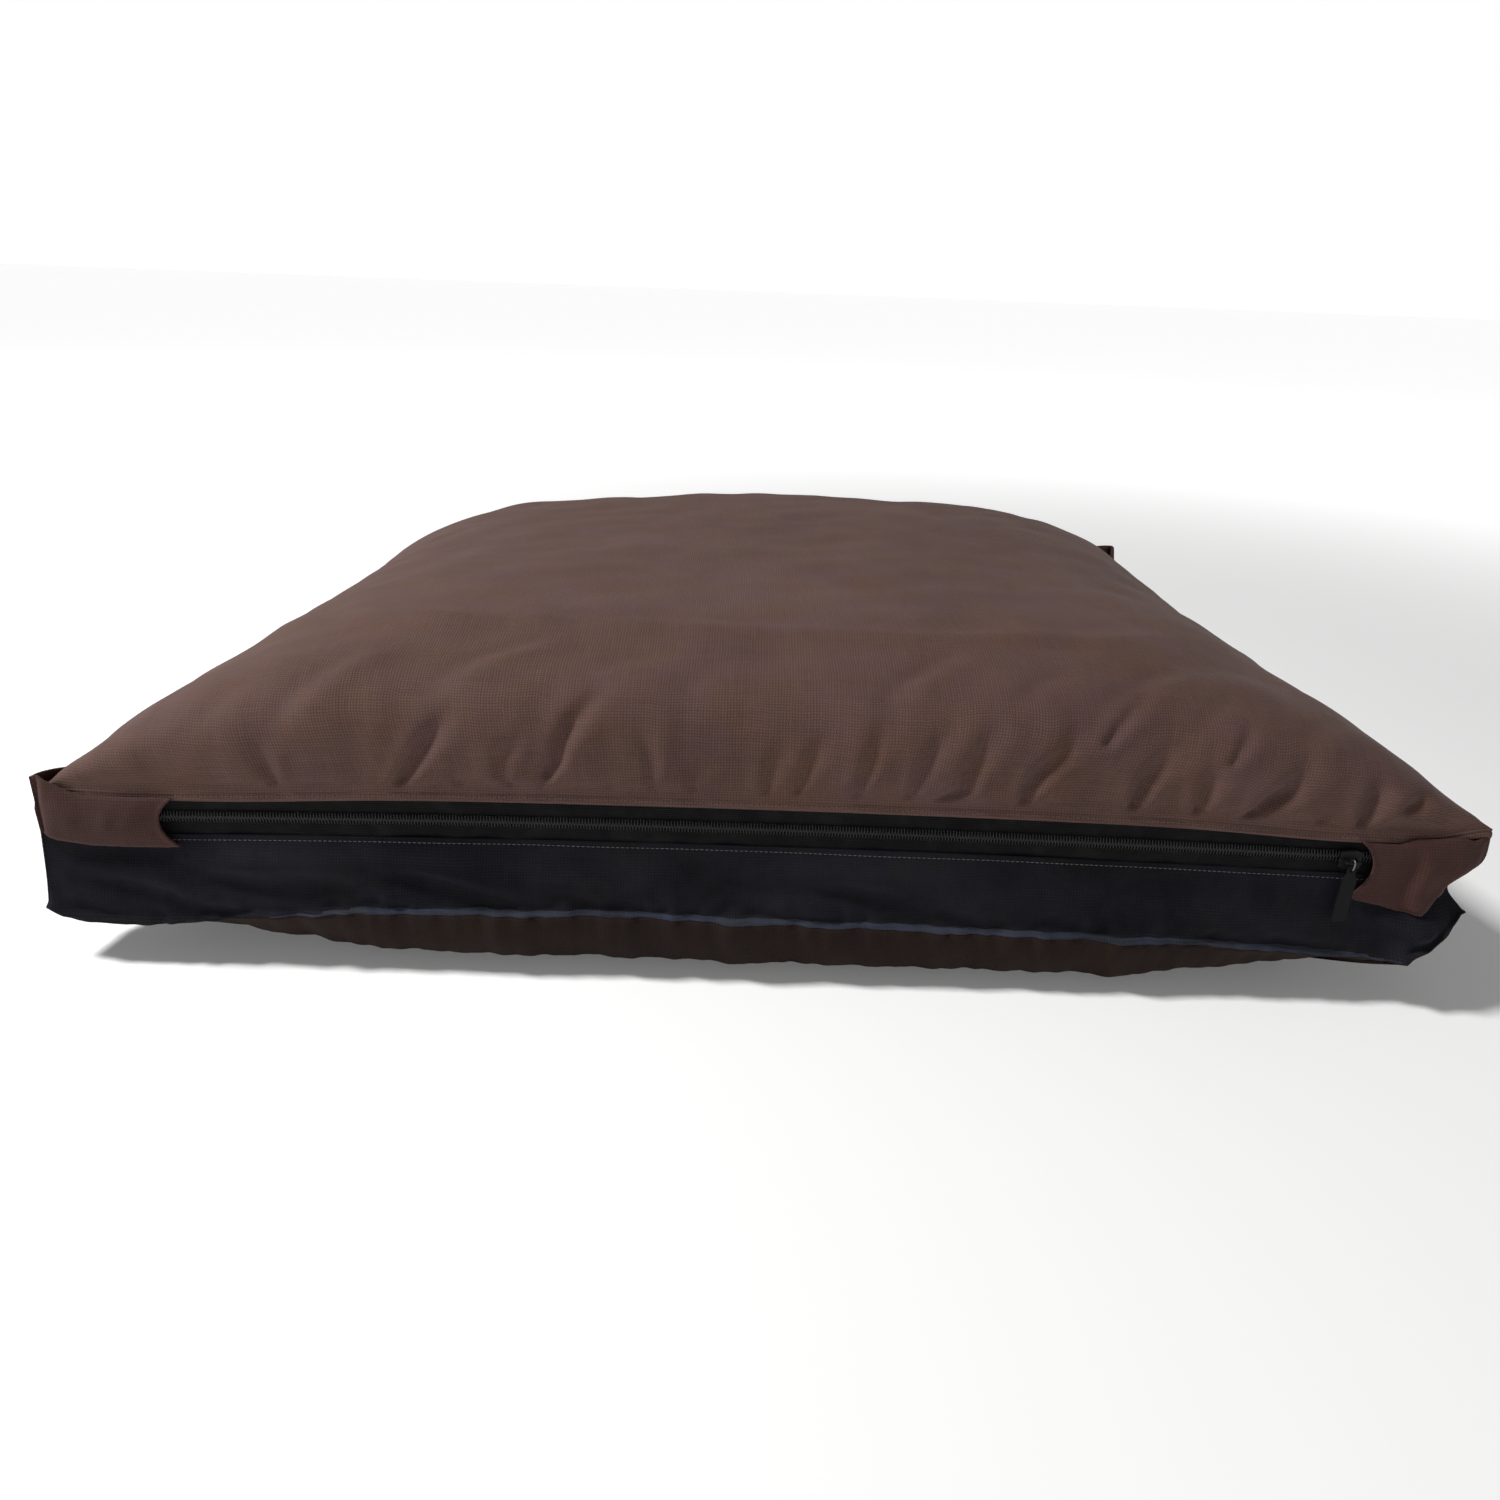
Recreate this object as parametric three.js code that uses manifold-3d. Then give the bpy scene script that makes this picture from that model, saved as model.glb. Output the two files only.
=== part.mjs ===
// Pet cushion bed: a boxed fabric cover with a front zip, and a fibre-filled
// inner cushion that comes out through the zip for washing.
// Millimetres, +X to the right along the zip, +Y to the back, +Z up.
// Origin: centre of the footprint, on the floor.
import * as THREE from 'three';
import { mergeVertices } from 'three/addons/utils/BufferGeometryUtils.js';
import Module from 'manifold-3d';

const wasm = await Module();
wasm.setup();

// ---------------------------------------------------------------- dimensions
const W = 750;              // width along the zip, corner to corner
const D = 640;              // depth, front to back
const CROWN = 179;          // height of the filled cushion's crown
const Z_SEAM = 102;         // where the top panel turns down into its hem band
const Z_HEM = 98;           // lower edge of the top panel's hem band
const Z_BASE = 36;          // seam between the border and the bottom panel
const SIDE_PULL = 0.085;     // how far the sides pull in between the corners
const BACK_PULL = 0.055;
const FABRIC = 1.2;         // panel thickness, fabric with its seam allowance
const GAP = 0.4;            // clearance between neighbouring pieces
const PATCH = 0.88;         // part of the half width that rests flat on the floor

const Z_GUSSET = 75.7;      // folded upper edge of the front gusset
const Z_BAND = 75.0;        // lower edge of the brown upper band
const GARAGE_X = 311;       // mouth of each zip garage, from the centre line

const Z_ZIP = 86.4;         // centre line of the zip
const TAPE_T = 0.6;         // zip tape thickness
const TAPE_Y = -318.5;      // outer face of the zip tape
const COIL_W = 2.0;         // width of one closed coil half
const COIL_GAP = 2.2;       // between the two coil halves, for the slider's post
const ZIP_HALF = 345;       // half length of the zip chain, ends under the garages
const SLIDER_X = 303;       // slider position with the zip closed
const TRAVEL = 606;         // slider travel from closed to fully open
const PULL_L = 31;          // pull tab length below its eye
const PULL_W = 7.5;

// crown profile exponents: rounded from side to side, boxier front to back
const P_U = 5.5, Q_U = 0.96;
const P_V = 4.7, Q_V = 0.20;
const BACK_SLACK = 0.44;    // the back corners are filled less
const LEAN = 0.08;          // the filling sits a little towards the front
const PEAK = 1.0325;        // largest value of the profile before scaling

// ------------------------------------------------------------------ colours
const BROWN = '#4a3330';
const BLACK = '#16161a';
const mat = (color, roughness = 0.85, metalness = 0) =>
  new THREE.MeshStandardMaterial({ color, roughness, metalness });
const fabricBrown = mat(BROWN);
const fabricBlack = mat(BLACK);
const tapeBlack = mat('#0f0f12', 0.8);
const coilBlack = mat('#0b0b0d', 0.45);
const metalBlack = mat('#1a1a1c', 0.35, 0.9);
const metalBright = mat('#8c8c90', 0.3, 1.0);
const threadBrown = mat('#5b4340', 0.8);
const threadGrey = mat('#5a5a58', 0.8);
const linerWhite = mat('#d9d6cd', 0.9);
const fibreWhite = mat('#f1efe8', 1.0);

const root = new THREE.Group();
function node(name, geometry, material, parent = root) {
  const mesh = new THREE.Mesh(geometry, material);
  mesh.name = name;
  parent.add(mesh);
  return mesh;
}

// ---------------------------------------------------------------- solid tools
function toManifold(geometry) {
  let g = geometry.clone();
  g.deleteAttribute('normal');
  g.deleteAttribute('uv');
  g = mergeVertices(g, 1e-4);
  const pos = g.getAttribute('position').array;
  return new wasm.Manifold(new wasm.Mesh({
    numProp: 3,
    vertProperties: new Float32Array(pos),
    triVerts: new Uint32Array(g.getIndex().array),
  }));
}
function toGeometry(manifold) {
  const m = manifold.getMesh();
  const g = new THREE.BufferGeometry();
  const n = m.vertProperties.length / m.numProp;
  const p = new Float32Array(n * 3);
  for (let i = 0; i < n; i++) for (let k = 0; k < 3; k++) p[3 * i + k] = m.vertProperties[m.numProp * i + k];
  g.setAttribute('position', new THREE.BufferAttribute(p, 3));
  g.setIndex(new THREE.BufferAttribute(new Uint32Array(m.triVerts), 1));
  g.computeVertexNormals();
  return g;
}
function box(x0, x1, y0, y1, z0, z1) {
  const g = new THREE.BoxGeometry(x1 - x0, y1 - y0, z1 - z0);
  g.translate((x0 + x1) / 2, (y0 + y1) / 2, (z0 + z1) / 2);
  return g;
}
// a vertical wall with the plan outline pts, from z0 to z1
function wall(pts, z0, z1) {
  const shape = new THREE.Shape(pts.map(([x, y]) => new THREE.Vector2(x, y)));
  const g = new THREE.ExtrudeGeometry(shape, { depth: z1 - z0, bevelEnabled: false, steps: 1 });
  g.translate(0, 0, z0);
  return g;
}

// --------------------------------------------------------------- plan outline
// (u, v) run from -1 to 1 across the width and the depth. The front edge is
// straight, because the zip runs along it; the other sides pull in.
function plan(u, v, w = W / 2, d = D / 2) {
  return [
    u * w * (1 - SIDE_PULL * (1 - v * v)),
    v * d * (1 - BACK_PULL * (1 - u * u) * Math.max(v, 0)),
  ];
}
const NU = 22, NV = 20;
const param = (n) => Array.from({ length: n + 1 }, (_, i) => Math.sin((i / n - 0.5) * Math.PI));
const US = param(NU), VS = param(NV);

function domeHeight(u, v) {
  const a = Math.max(0, 1 - Math.pow(Math.abs(u), P_U)), b = Math.max(0, 1 - Math.pow(Math.abs(v), P_V));
  const back = Math.max(v, 0);
  return Math.pow(a, Q_U) * Math.pow(b, Q_V) * (1 - BACK_SLACK * u * u * back * back) * (1 - LEAN * v) / PEAK;
}
// 1 over the middle, falling to 0 at the edge along a quarter round
function bowlDepth(u, v, flat) {
  const m = Math.min(1, Math.pow(Math.pow(Math.abs(u), 8) + Math.pow(Math.abs(v), 8), 1 / 8));
  const t = Math.max(0, (m - flat) / (1 - flat));
  return Math.sqrt(Math.max(0, 1 - t * t));
}

// A surface sheet over the (u, v) grid: rows of points, outer edge included.
function sheet(w, d, height) {
  return VS.map((v) => US.map((u) => {
    const [x, y] = plan(u, v, w, d);
    return [x, y, height(u, v)];
  }));
}
// the perimeter of the grid, anticlockwise seen from above
const rim = [];
for (let i = 0; i < NU; i++) rim.push([0, i]);
for (let j = 0; j < NV; j++) rim.push([j, NU]);
for (let i = NU; i > 0; i--) rim.push([NV, i]);
for (let j = NV; j > 0; j--) rim.push([j, 0]);

// Closed solid between an upper sheet and a lower sheet. Extra rings of points
// may run down the outside (outerRings) and back up the inside (innerRings).
function closed(upper, lower, outerRings = [], innerRings = []) {
  const pos = [], idx = [];
  const grid = (s) => s.map((row) => row.map((p) => pos.push(...p) / 3 - 1));
  const up = grid(upper), lo = grid(lower);
  for (let j = 0; j < NV; j++) for (let i = 0; i < NU; i++) {
    idx.push(up[j][i], up[j][i + 1], up[j + 1][i + 1], up[j][i], up[j + 1][i + 1], up[j + 1][i]);
    idx.push(lo[j][i], lo[j + 1][i + 1], lo[j][i + 1], lo[j][i], lo[j + 1][i], lo[j + 1][i + 1]);
  }
  const ring = (pts) => pts.map((p) => pos.push(...p) / 3 - 1);
  const chain = [rim.map(([j, i]) => up[j][i]),
    ...outerRings.map(ring), ...innerRings.map(ring),
    rim.map(([j, i]) => lo[j][i])];
  for (let k = 0; k + 1 < chain.length; k++) {
    const a = chain[k], b = chain[k + 1], n = a.length;
    for (let i = 0; i < n; i++) {
      const j = (i + 1) % n;
      idx.push(a[i], b[i], b[j], a[i], b[j], a[j]);
    }
  }
  const g = new THREE.BufferGeometry();
  g.setAttribute('position', new THREE.Float32BufferAttribute(pos, 3));
  g.setIndex(idx);
  g.computeVertexNormals();
  return g;
}
const ringAt = (w, d, z) => rim.map(([j, i]) => [...plan(US[i], VS[j], w, d), z]);

// ------------------------------------------------------------------ top panel
// Crowned panel whose edge turns down into a folded hem band.
{
  const h = CROWN - Z_SEAM;
  const outer = sheet(W / 2, D / 2, (u, v) => Z_SEAM + h * domeHeight(u, v));
  const inner = sheet(W / 2 - FABRIC, D / 2 - FABRIC, (u, v) => Z_SEAM - FABRIC + h * domeHeight(u, v));
  node('top_panel', closed(outer, inner, [ringAt(W / 2, D / 2, Z_HEM)], [ringAt(W / 2 - FABRIC, D / 2 - FABRIC, Z_HEM)]), fabricBrown);
}

// --------------------------------------------------------------- bottom panel
// Flat where it rests on the floor, turning up to the border all round.
{
  const h = Z_BASE - FABRIC;
  const upper = sheet(W / 2 - FABRIC, D / 2 - FABRIC, (u, v) => FABRIC + h * (1 - bowlDepth(u, v, PATCH)));
  const lower = sheet(W / 2, D / 2, (u, v) => h * (1 - bowlDepth(u, v, PATCH)));
  node('bottom_panel', closed(upper, lower), fabricBrown);
}

// --------------------------------------------------------------------- border
const Z_LOW = Z_BASE + GAP;
const SEG = 12;
const line = (n, f) => Array.from({ length: n + 1 }, (_, i) => f(-1 + (2 * i) / n));
// thin wall along a side curve: outer points, then inner points back
function sideStrip(sign, v0, v1, outset = 0) {
  const vs = Array.from({ length: SEG + 1 }, (_, i) => v0 + ((v1 - v0) * i) / SEG);
  const out = vs.map((v) => plan(sign, v)).map(([x, y]) => [x + sign * outset, y]);
  const inn = vs.map((v) => plan(sign, v)).map(([x, y]) => [x + sign * outset - sign * FABRIC, y]).reverse();
  return [...out, ...inn];
}
function backStrip(u0, u1) {
  const us = Array.from({ length: SEG + 1 }, (_, i) => u0 + ((u1 - u0) * i) / SEG);
  const out = us.map((u) => plan(u, 1));
  const inn = us.map((u) => plan(u, 1)).map(([x, y]) => [x, y - FABRIC]).reverse();
  return [...out, ...inn];
}
const CORNER = FABRIC + GAP;
const vEnd = 1 - CORNER / (D / 2);
node('front_gusset', box(-W / 2 + CORNER, W / 2 - CORNER, -D / 2, -D / 2 + FABRIC, Z_LOW, Z_GUSSET), fabricBlack);
node('left_gusset', wall(sideStrip(-1, -1, vEnd), Z_LOW, Z_BAND - GAP), fabricBlack);
node('right_gusset', wall(sideStrip(1, -1, vEnd), Z_LOW, Z_BAND - GAP), fabricBlack);
node('back_gusset', wall(backStrip(-1, 1), Z_LOW, Z_BAND - GAP), fabricBlack);

// The brown upper band runs round the sides; at each front corner it wraps to
// the front as the garage that covers the end of the zip.
const GARAGE_Y = -D / 2 - 2.4;      // outer face of a garage
function bandWithGarage(sign) {
  const vs = Array.from({ length: SEG + 1 }, (_, i) => -1 + ((vEnd + 1) * i) / SEG);
  const side = vs.map((v) => plan(sign, v));
  const out = side.map(([x, y]) => [x, y]);
  out[0] = [sign * W / 2, GARAGE_Y];
  const inn = side.map(([x, y]) => [x - sign * FABRIC, y]);
  inn[0] = [sign * (W / 2 - FABRIC), GARAGE_Y + FABRIC];
  const pts = [[sign * GARAGE_X, GARAGE_Y], ...out, ...inn.reverse(), [sign * GARAGE_X, GARAGE_Y + FABRIC]];
  let body = toManifold(wall(pts, Z_BAND, Z_HEM - GAP));
  if (sign > 0) {                   // the right garage folds down over the gusset
    const flap = new THREE.Shape([[GARAGE_X, Z_BAND + 1], [GARAGE_X + 1.5, 66], [GARAGE_X + 12, 61], [338, 58],
      [350, 57.5], [362, 66], [372, Z_BAND + 1]].map(([x, z]) => new THREE.Vector2(x, z)));
    const g = new THREE.ExtrudeGeometry(flap, { depth: FABRIC, bevelEnabled: false });
    g.rotateX(Math.PI / 2);          // the depth now runs towards -Y
    g.translate(0, GARAGE_Y + FABRIC, 0);
    body = body.add(toManifold(g));
  }
  // concave mouth, where the folded end of the garage curves round the zip
  const cut = new THREE.CylinderGeometry(1, 1, 10, 20);
  cut.scale(7, 1, (Z_HEM - Z_BAND) * 0.46);
  cut.translate(sign * (GARAGE_X - 1.5), GARAGE_Y, (Z_HEM + Z_BAND) / 2);
  return toGeometry(body.subtract(toManifold(cut)));
}
node('left_band', bandWithGarage(-1), fabricBrown);
node('right_band', bandWithGarage(1), fabricBrown);
node('back_band', wall(backStrip(-1, 1), Z_BAND, Z_HEM - GAP), fabricBrown);

// ------------------------------------------------------------------------ zip
const COIL_FRONT = TAPE_Y - 0.3 - 2.0;   // outer face of the coils
const postHalf = 0.6;
node('zip_tape_upper', box(-ZIP_HALF, ZIP_HALF, TAPE_Y, TAPE_Y + TAPE_T, Z_ZIP + 0.9, Z_HEM + 2), tapeBlack);
node('zip_tape_lower', box(-ZIP_HALF, ZIP_HALF, TAPE_Y, TAPE_Y + TAPE_T, Z_GUSSET - 3, Z_ZIP - 0.9), tapeBlack);
node('zip_coil_upper', box(-ZIP_HALF, ZIP_HALF, COIL_FRONT, COIL_FRONT + 2.0, Z_ZIP + COIL_GAP / 2, Z_ZIP + COIL_GAP / 2 + COIL_W), coilBlack);
node('zip_coil_lower', box(-ZIP_HALF, ZIP_HALF, COIL_FRONT, COIL_FRONT + 2.0, Z_ZIP - COIL_GAP / 2 - COIL_W, Z_ZIP - COIL_GAP / 2), coilBlack);

// Slider: a front plate with side lips, a back plate behind the tapes, the
// wedge post that joins them between the coils, and the crown for the ring.
const slider = new THREE.Group();
slider.position.set(SLIDER_X, 0, Z_ZIP);
root.add(slider);
const F_IN = COIL_FRONT - 0.4, F_OUT = F_IN - 1.4;   // front plate
const B_IN = TAPE_Y + TAPE_T + 0.4, B_OUT = B_IN + 1.0;
const ROD_Y = F_OUT - 3.1, ROD = 1.0;                 // crown rod centre
{
  // plate outline: wide shoulders where the chain opens, narrower at the tail
  const outline = (k) => [[-5.5, -3.9 * k], [-2.5, -4.9 * k], [3.0, -5.2 * k], [5.5, -4.4 * k],
    [5.5, 4.4 * k], [3.0, 5.2 * k], [-2.5, 4.9 * k], [-5.5, 3.9 * k]];
  const plate = (k, y0, y1) => {
    const g = wall(outline(k), 0, y1 - y0);
    g.rotateX(Math.PI / 2);          // thickness now runs towards -Y
    g.translate(0, y1, 0);
    return toManifold(g);
  };
  let s = plate(1, F_OUT, F_IN);
  s = s.add(plate(1, B_IN, B_OUT));
  s = s.add(toManifold(box(1.2, 4.6, F_IN - 0.5, B_IN + 0.5, -postHalf, postHalf)));
  for (const k of [-1, 1]) {         // side lips that close over the coils
    const z = k * 4.2;
    s = s.add(toManifold(box(-3.2, 3.6, F_IN - 0.5, TAPE_Y - 0.5, z - 0.4, z + 0.4)));
  }
  for (const k of [-1, 1]) {         // crown legs and rod
    s = s.add(toManifold(box(k * 3.2 - 0.55, k * 3.2 + 0.55, ROD_Y - ROD / 2, F_OUT + 0.3, -0.6, 0.6)));
  }
  s = s.add(toManifold(box(-3.6, 3.6, ROD_Y - ROD / 2, ROD_Y + ROD / 2, -ROD / 2, ROD / 2)));
  node('zip_slider', toGeometry(s), metalBlack, slider);
}
// Ring: an oval wire loop round the crown rod, hanging in the YZ plane.
const WIRE_R = 0.45, LOOP_R = 1.5, LOOP_DROP = 2.5;
const EYE_Z = -LOOP_DROP - LOOP_R;                    // wire at the loop's foot
{
  class Loop extends THREE.Curve {
    getPoint(t, target = new THREE.Vector3()) {
      const straight = LOOP_DROP, half = Math.PI * LOOP_R, total = 2 * straight + 2 * half;
      let s = (t % 1) * total;
      let y, z;
      if (s < half) { const a = s / LOOP_R; y = LOOP_R * Math.cos(a); z = LOOP_R * Math.sin(a); }
      else if (s < half + straight) { y = -LOOP_R; z = -(s - half); }
      else if (s < 2 * half + straight) { const a = Math.PI + (s - half - straight) / LOOP_R; y = LOOP_R * Math.cos(a); z = -straight + LOOP_R * Math.sin(a); }
      else { y = LOOP_R; z = -straight + (s - 2 * half - straight); }
      return target.set(0, y, z);
    }
  }
  // sweep an eight-sided section round the loop; first and last rings coincide
  const N = 24, M = 6, loop = new Loop(), pos = [], idx = [];
  for (let i = 0; i < N; i++) {
    const p = loop.getPoint(i / N), q = loop.getPoint(((i + 0.01) / N) % 1);
    const t = q.clone().sub(p).normalize(), n = new THREE.Vector3(0, -t.z, t.y);
    for (let j = 0; j < M; j++) {
      const a = (2 * Math.PI * j) / M;
      pos.push(p.x + WIRE_R * Math.sin(a), p.y + WIRE_R * Math.cos(a) * n.y, p.z + WIRE_R * Math.cos(a) * n.z);
    }
  }
  for (let i = 0; i < N; i++) for (let j = 0; j < M; j++) {
    const a = i * M + j, b = i * M + ((j + 1) % M), c = ((i + 1) % N) * M + j, d = ((i + 1) % N) * M + ((j + 1) % M);
    idx.push(a, b, d, a, d, c);
  }
  const g = new THREE.BufferGeometry();
  g.setAttribute('position', new THREE.Float32BufferAttribute(pos, 3));
  g.setIndex(idx);
  if (toManifold(g).volume() < 0) { for (let i = 0; i < idx.length; i += 3) [idx[i + 1], idx[i + 2]] = [idx[i + 2], idx[i + 1]]; g.setIndex(idx); }
  g.computeVertexNormals();
  g.translate(0, ROD_Y, 0);
  node('zip_pull_ring', g, metalBright, slider);
}
// Pull tab: a flat plate with an eye for the ring and rounded corners.
{
  const shape = new THREE.Shape();
  const top = 2.5, neck = 2.1, half = PULL_W / 2, low = -PULL_L;
  shape.moveTo(-neck + 0.6, top);
  shape.lineTo(neck - 0.6, top);
  shape.lineTo(neck, top - 0.8);
  shape.lineTo(neck, -2.5);
  shape.lineTo(half, -6);
  shape.lineTo(half, low + 1.5);
  shape.lineTo(half - 1.5, low);
  shape.lineTo(-half + 1.5, low);
  shape.lineTo(-half, low + 1.5);
  shape.lineTo(-half, -6);
  shape.lineTo(-neck, -2.5);
  shape.lineTo(-neck, top - 0.8);
  const g = new THREE.ExtrudeGeometry(shape, { depth: 1.2, bevelEnabled: false });
  const eye = new THREE.CylinderGeometry(1.2, 1.2, 4, 16);
  eye.rotateX(Math.PI / 2);
  const tab = toGeometry(toManifold(g).subtract(toManifold(eye)));
  tab.rotateX(Math.PI / 2);
  tab.translate(0, ROD_Y + 0.6, EYE_Z);
  node('zip_pull_tab', tab, metalBlack, slider);
}

// ------------------------------------------------------------------ stitching
const threadY = -D / 2 - 0.75;
node('hem_stitching', box(-GARAGE_X + 4, GARAGE_X - 4, threadY, threadY + 0.4, Z_HEM + 2.9, Z_HEM + 3.3), threadBrown);
node('gusset_stitching', box(-W / 2 + 20, W / 2 - 20, threadY, threadY + 0.4, Z_GUSSET - 2.5, Z_GUSSET - 2.1), threadGrey);

// -------------------------------------------------------------- inner cushion
// Liner in two halves round the loose fibre filling.
const Z_MID = 68;            // liner's side seam
const LINER = 1.0;
const inset = 5.2;
const topLiner = (d) => (u, v) => Z_MID + (CROWN - FABRIC - 0.8 - Z_MID - d) * domeHeight(u, v);
const lowLiner = (d) => (u, v) => Z_MID - (Z_MID - FABRIC - 0.8 - d) * bowlDepth(u, v, 0.8);
node('liner_top', closed(
  sheet(W / 2 - inset, D / 2 - inset, (u, v) => topLiner(0)(u, v) + 0.2),
  sheet(W / 2 - inset - LINER, D / 2 - inset - LINER, (u, v) => topLiner(LINER)(u, v) + 0.2)), linerWhite);
node('liner_bottom', closed(
  sheet(W / 2 - inset - LINER, D / 2 - inset - LINER, (u, v) => lowLiner(LINER)(u, v) - 0.2),
  sheet(W / 2 - inset, D / 2 - inset, (u, v) => lowLiner(0)(u, v) - 0.2)), linerWhite);
const fi = inset + LINER + GAP;
node('fibre_fill', closed(
  sheet(W / 2 - fi, D / 2 - fi, (u, v) => topLiner(LINER + 2 * GAP)(u, v) + 0.05),
  sheet(W / 2 - fi, D / 2 - fi, (u, v) => lowLiner(LINER + 2 * GAP)(u, v) - 0.05)), fibreWhite);

export default root;
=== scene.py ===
import math
import bpy, bmesh
import numpy as np
from mathutils import Matrix, Vector


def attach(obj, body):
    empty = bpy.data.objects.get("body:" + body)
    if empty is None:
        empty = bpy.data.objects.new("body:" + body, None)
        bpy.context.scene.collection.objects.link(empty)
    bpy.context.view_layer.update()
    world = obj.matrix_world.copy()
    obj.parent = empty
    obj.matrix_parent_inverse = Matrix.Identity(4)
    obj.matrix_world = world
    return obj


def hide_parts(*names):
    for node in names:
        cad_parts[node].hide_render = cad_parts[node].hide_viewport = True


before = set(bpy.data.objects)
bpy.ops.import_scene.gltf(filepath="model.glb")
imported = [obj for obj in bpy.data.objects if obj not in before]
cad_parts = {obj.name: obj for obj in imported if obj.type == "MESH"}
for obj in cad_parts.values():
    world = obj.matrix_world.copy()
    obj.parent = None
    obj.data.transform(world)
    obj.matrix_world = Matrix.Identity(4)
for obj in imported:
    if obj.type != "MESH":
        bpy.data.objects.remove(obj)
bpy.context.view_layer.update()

# ------------------------------------------------------------------ dimensions (metres)
HX, HY = 0.375, 0.320            # half width and half depth, corner to corner
Z_SEAM, Z_HEM, Z_BASE, CROWN = 0.102, 0.098, 0.036, 0.179
SIDE_PULL, BACK_PULL = 0.085, 0.055
Z_GUSSET, Z_BAND, Z_ZIP = 0.0757, 0.0750, 0.0864
GARAGE_X = 0.311
FABRIC = 0.0010


def smooth(t, a=0.0, b=1.0):
    t = np.clip((np.asarray(t, float) - a) / (b - a), 0, 1)
    return t * t * (3 - 2 * t)


def gauss(x, c, w):
    return np.exp(-(((x - c) / w) ** 2))


def noise1(x, seed, scale):
    """Smooth repeatable noise of one variable, about -1 to 1."""
    rng = np.random.default_rng(seed)
    ph = rng.uniform(0, 2 * math.pi, 7)
    fr = np.array([0.31, 0.57, 0.83, 1.17, 1.61, 2.23, 3.05])
    am = np.array([1, 0.9, 0.8, 0.7, 0.5, 0.35, 0.25])
    x = np.asarray(x, float)[..., None] / scale * 2 * math.pi
    return (np.sin(x * fr + ph) * am).sum(-1) / 2.6


def noise2(x, y, seed, scale, n=14, aniso=1.0):
    rng = np.random.default_rng(seed)
    out = 0
    for k in range(n):
        a = rng.uniform(0, 2 * math.pi)
        f = rng.uniform(0.5, 1.6) / scale
        out = out + math.sqrt(0.7 / n) * 1.6 * np.sin(2 * math.pi * f * (x * math.cos(a) + y * math.sin(a) * aniso) + rng.uniform(0, 6.283))
    return out


# ------------------------------------------------------------------ mesh helpers
def new_object(name, verts, faces, uv=None):
    me = bpy.data.meshes.new(name)
    me.from_pydata([tuple(map(float, v)) for v in verts], [], [tuple(map(int, f)) for f in faces])
    me.polygons.foreach_set("use_smooth", [True] * len(me.polygons))
    me.update()
    ob = bpy.data.objects.new(name, me)
    bpy.context.scene.collection.objects.link(ob)
    return ob


def grid_faces(ny, nx, flip=False, wrap=False, off=0):
    f = []
    for j in range(ny - 1):
        for i in range(nx - 1 + (1 if wrap else 0)):
            a, b = off + j * nx + i, off + j * nx + (i + 1) % nx
            c, d = a + nx, b + nx
            f.append((a, c, d, b) if flip else (a, b, d, c))
    return f


def grid_object(name, P, flip=False, wrap=False):
    ny, nx, _ = P.shape
    return new_object(name, P.reshape(-1, 3), grid_faces(ny, nx, flip, wrap))


def solidify(ob, t, offset=-1.0):
    m = ob.modifiers.new("thickness", "SOLIDIFY")
    m.thickness = t
    m.offset = offset
    m.use_even_offset = False
    m.use_rim = True
    return ob


def apply_modifiers(ob):
    deps = bpy.context.evaluated_depsgraph_get()
    me = bpy.data.meshes.new_from_object(ob.evaluated_get(deps))
    ob.modifiers.clear()
    old = ob.data
    mats = [m for m in old.materials]
    ob.data = me
    me.materials.clear()
    for m in mats:
        me.materials.append(m)
    me.polygons.foreach_set("use_smooth", [True] * len(me.polygons))
    me.update()


# ------------------------------------------------------------------ node materials
def material(name):
    m = bpy.data.materials.new(name)
    m.use_nodes = True
    nt = m.node_tree
    nt.nodes.clear()
    out = nt.nodes.new("ShaderNodeOutputMaterial")
    bsdf = nt.nodes.new("ShaderNodeBsdfPrincipled")
    nt.links.new(bsdf.outputs[0], out.inputs[0])
    return m, nt, bsdf


class N:
    """Small helper for building node chains."""

    def __init__(self, nt):
        self.nt = nt

    def new(self, kind, **props):
        n = self.nt.nodes.new(kind)
        for k, v in props.items():
            setattr(n, k, v)
        return n

    def put(self, sock, v):
        if hasattr(v, "is_output"):
            self.nt.links.new(v, sock)
        else:
            sock.default_value = v

    def math(self, op, a, b=0.0, c=None):
        n = self.new("ShaderNodeMath", operation=op)
        self.put(n.inputs[0], a)
        self.put(n.inputs[1], b)
        if c is not None:
            self.put(n.inputs[2], c)
        return n.outputs[0]

    def mix(self, fac, a, b, blend="MIX"):
        n = self.new("ShaderNodeMix", data_type="RGBA", blend_type=blend)
        self.put(n.inputs[0], fac)
        self.put(n.inputs[6], a)
        self.put(n.inputs[7], b)
        return n.outputs[2]

    def noise(self, vec, scale, detail=2.0, rough=0.5):
        n = self.new("ShaderNodeTexNoise")
        self.put(n.inputs["Vector"], vec)
        n.inputs["Scale"].default_value = scale
        n.inputs["Detail"].default_value = detail
        n.inputs["Roughness"].default_value = rough
        return n.outputs["Fac"]

    def ramp(self, fac, lo, hi, a=0.0, b=1.0):
        n = self.new("ShaderNodeMapRange")
        n.inputs["From Min"].default_value = lo
        n.inputs["From Max"].default_value = hi
        n.inputs["To Min"].default_value = a
        n.inputs["To Max"].default_value = b
        self.put(n.inputs["Value"], fac)
        return n.outputs[0]


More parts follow.
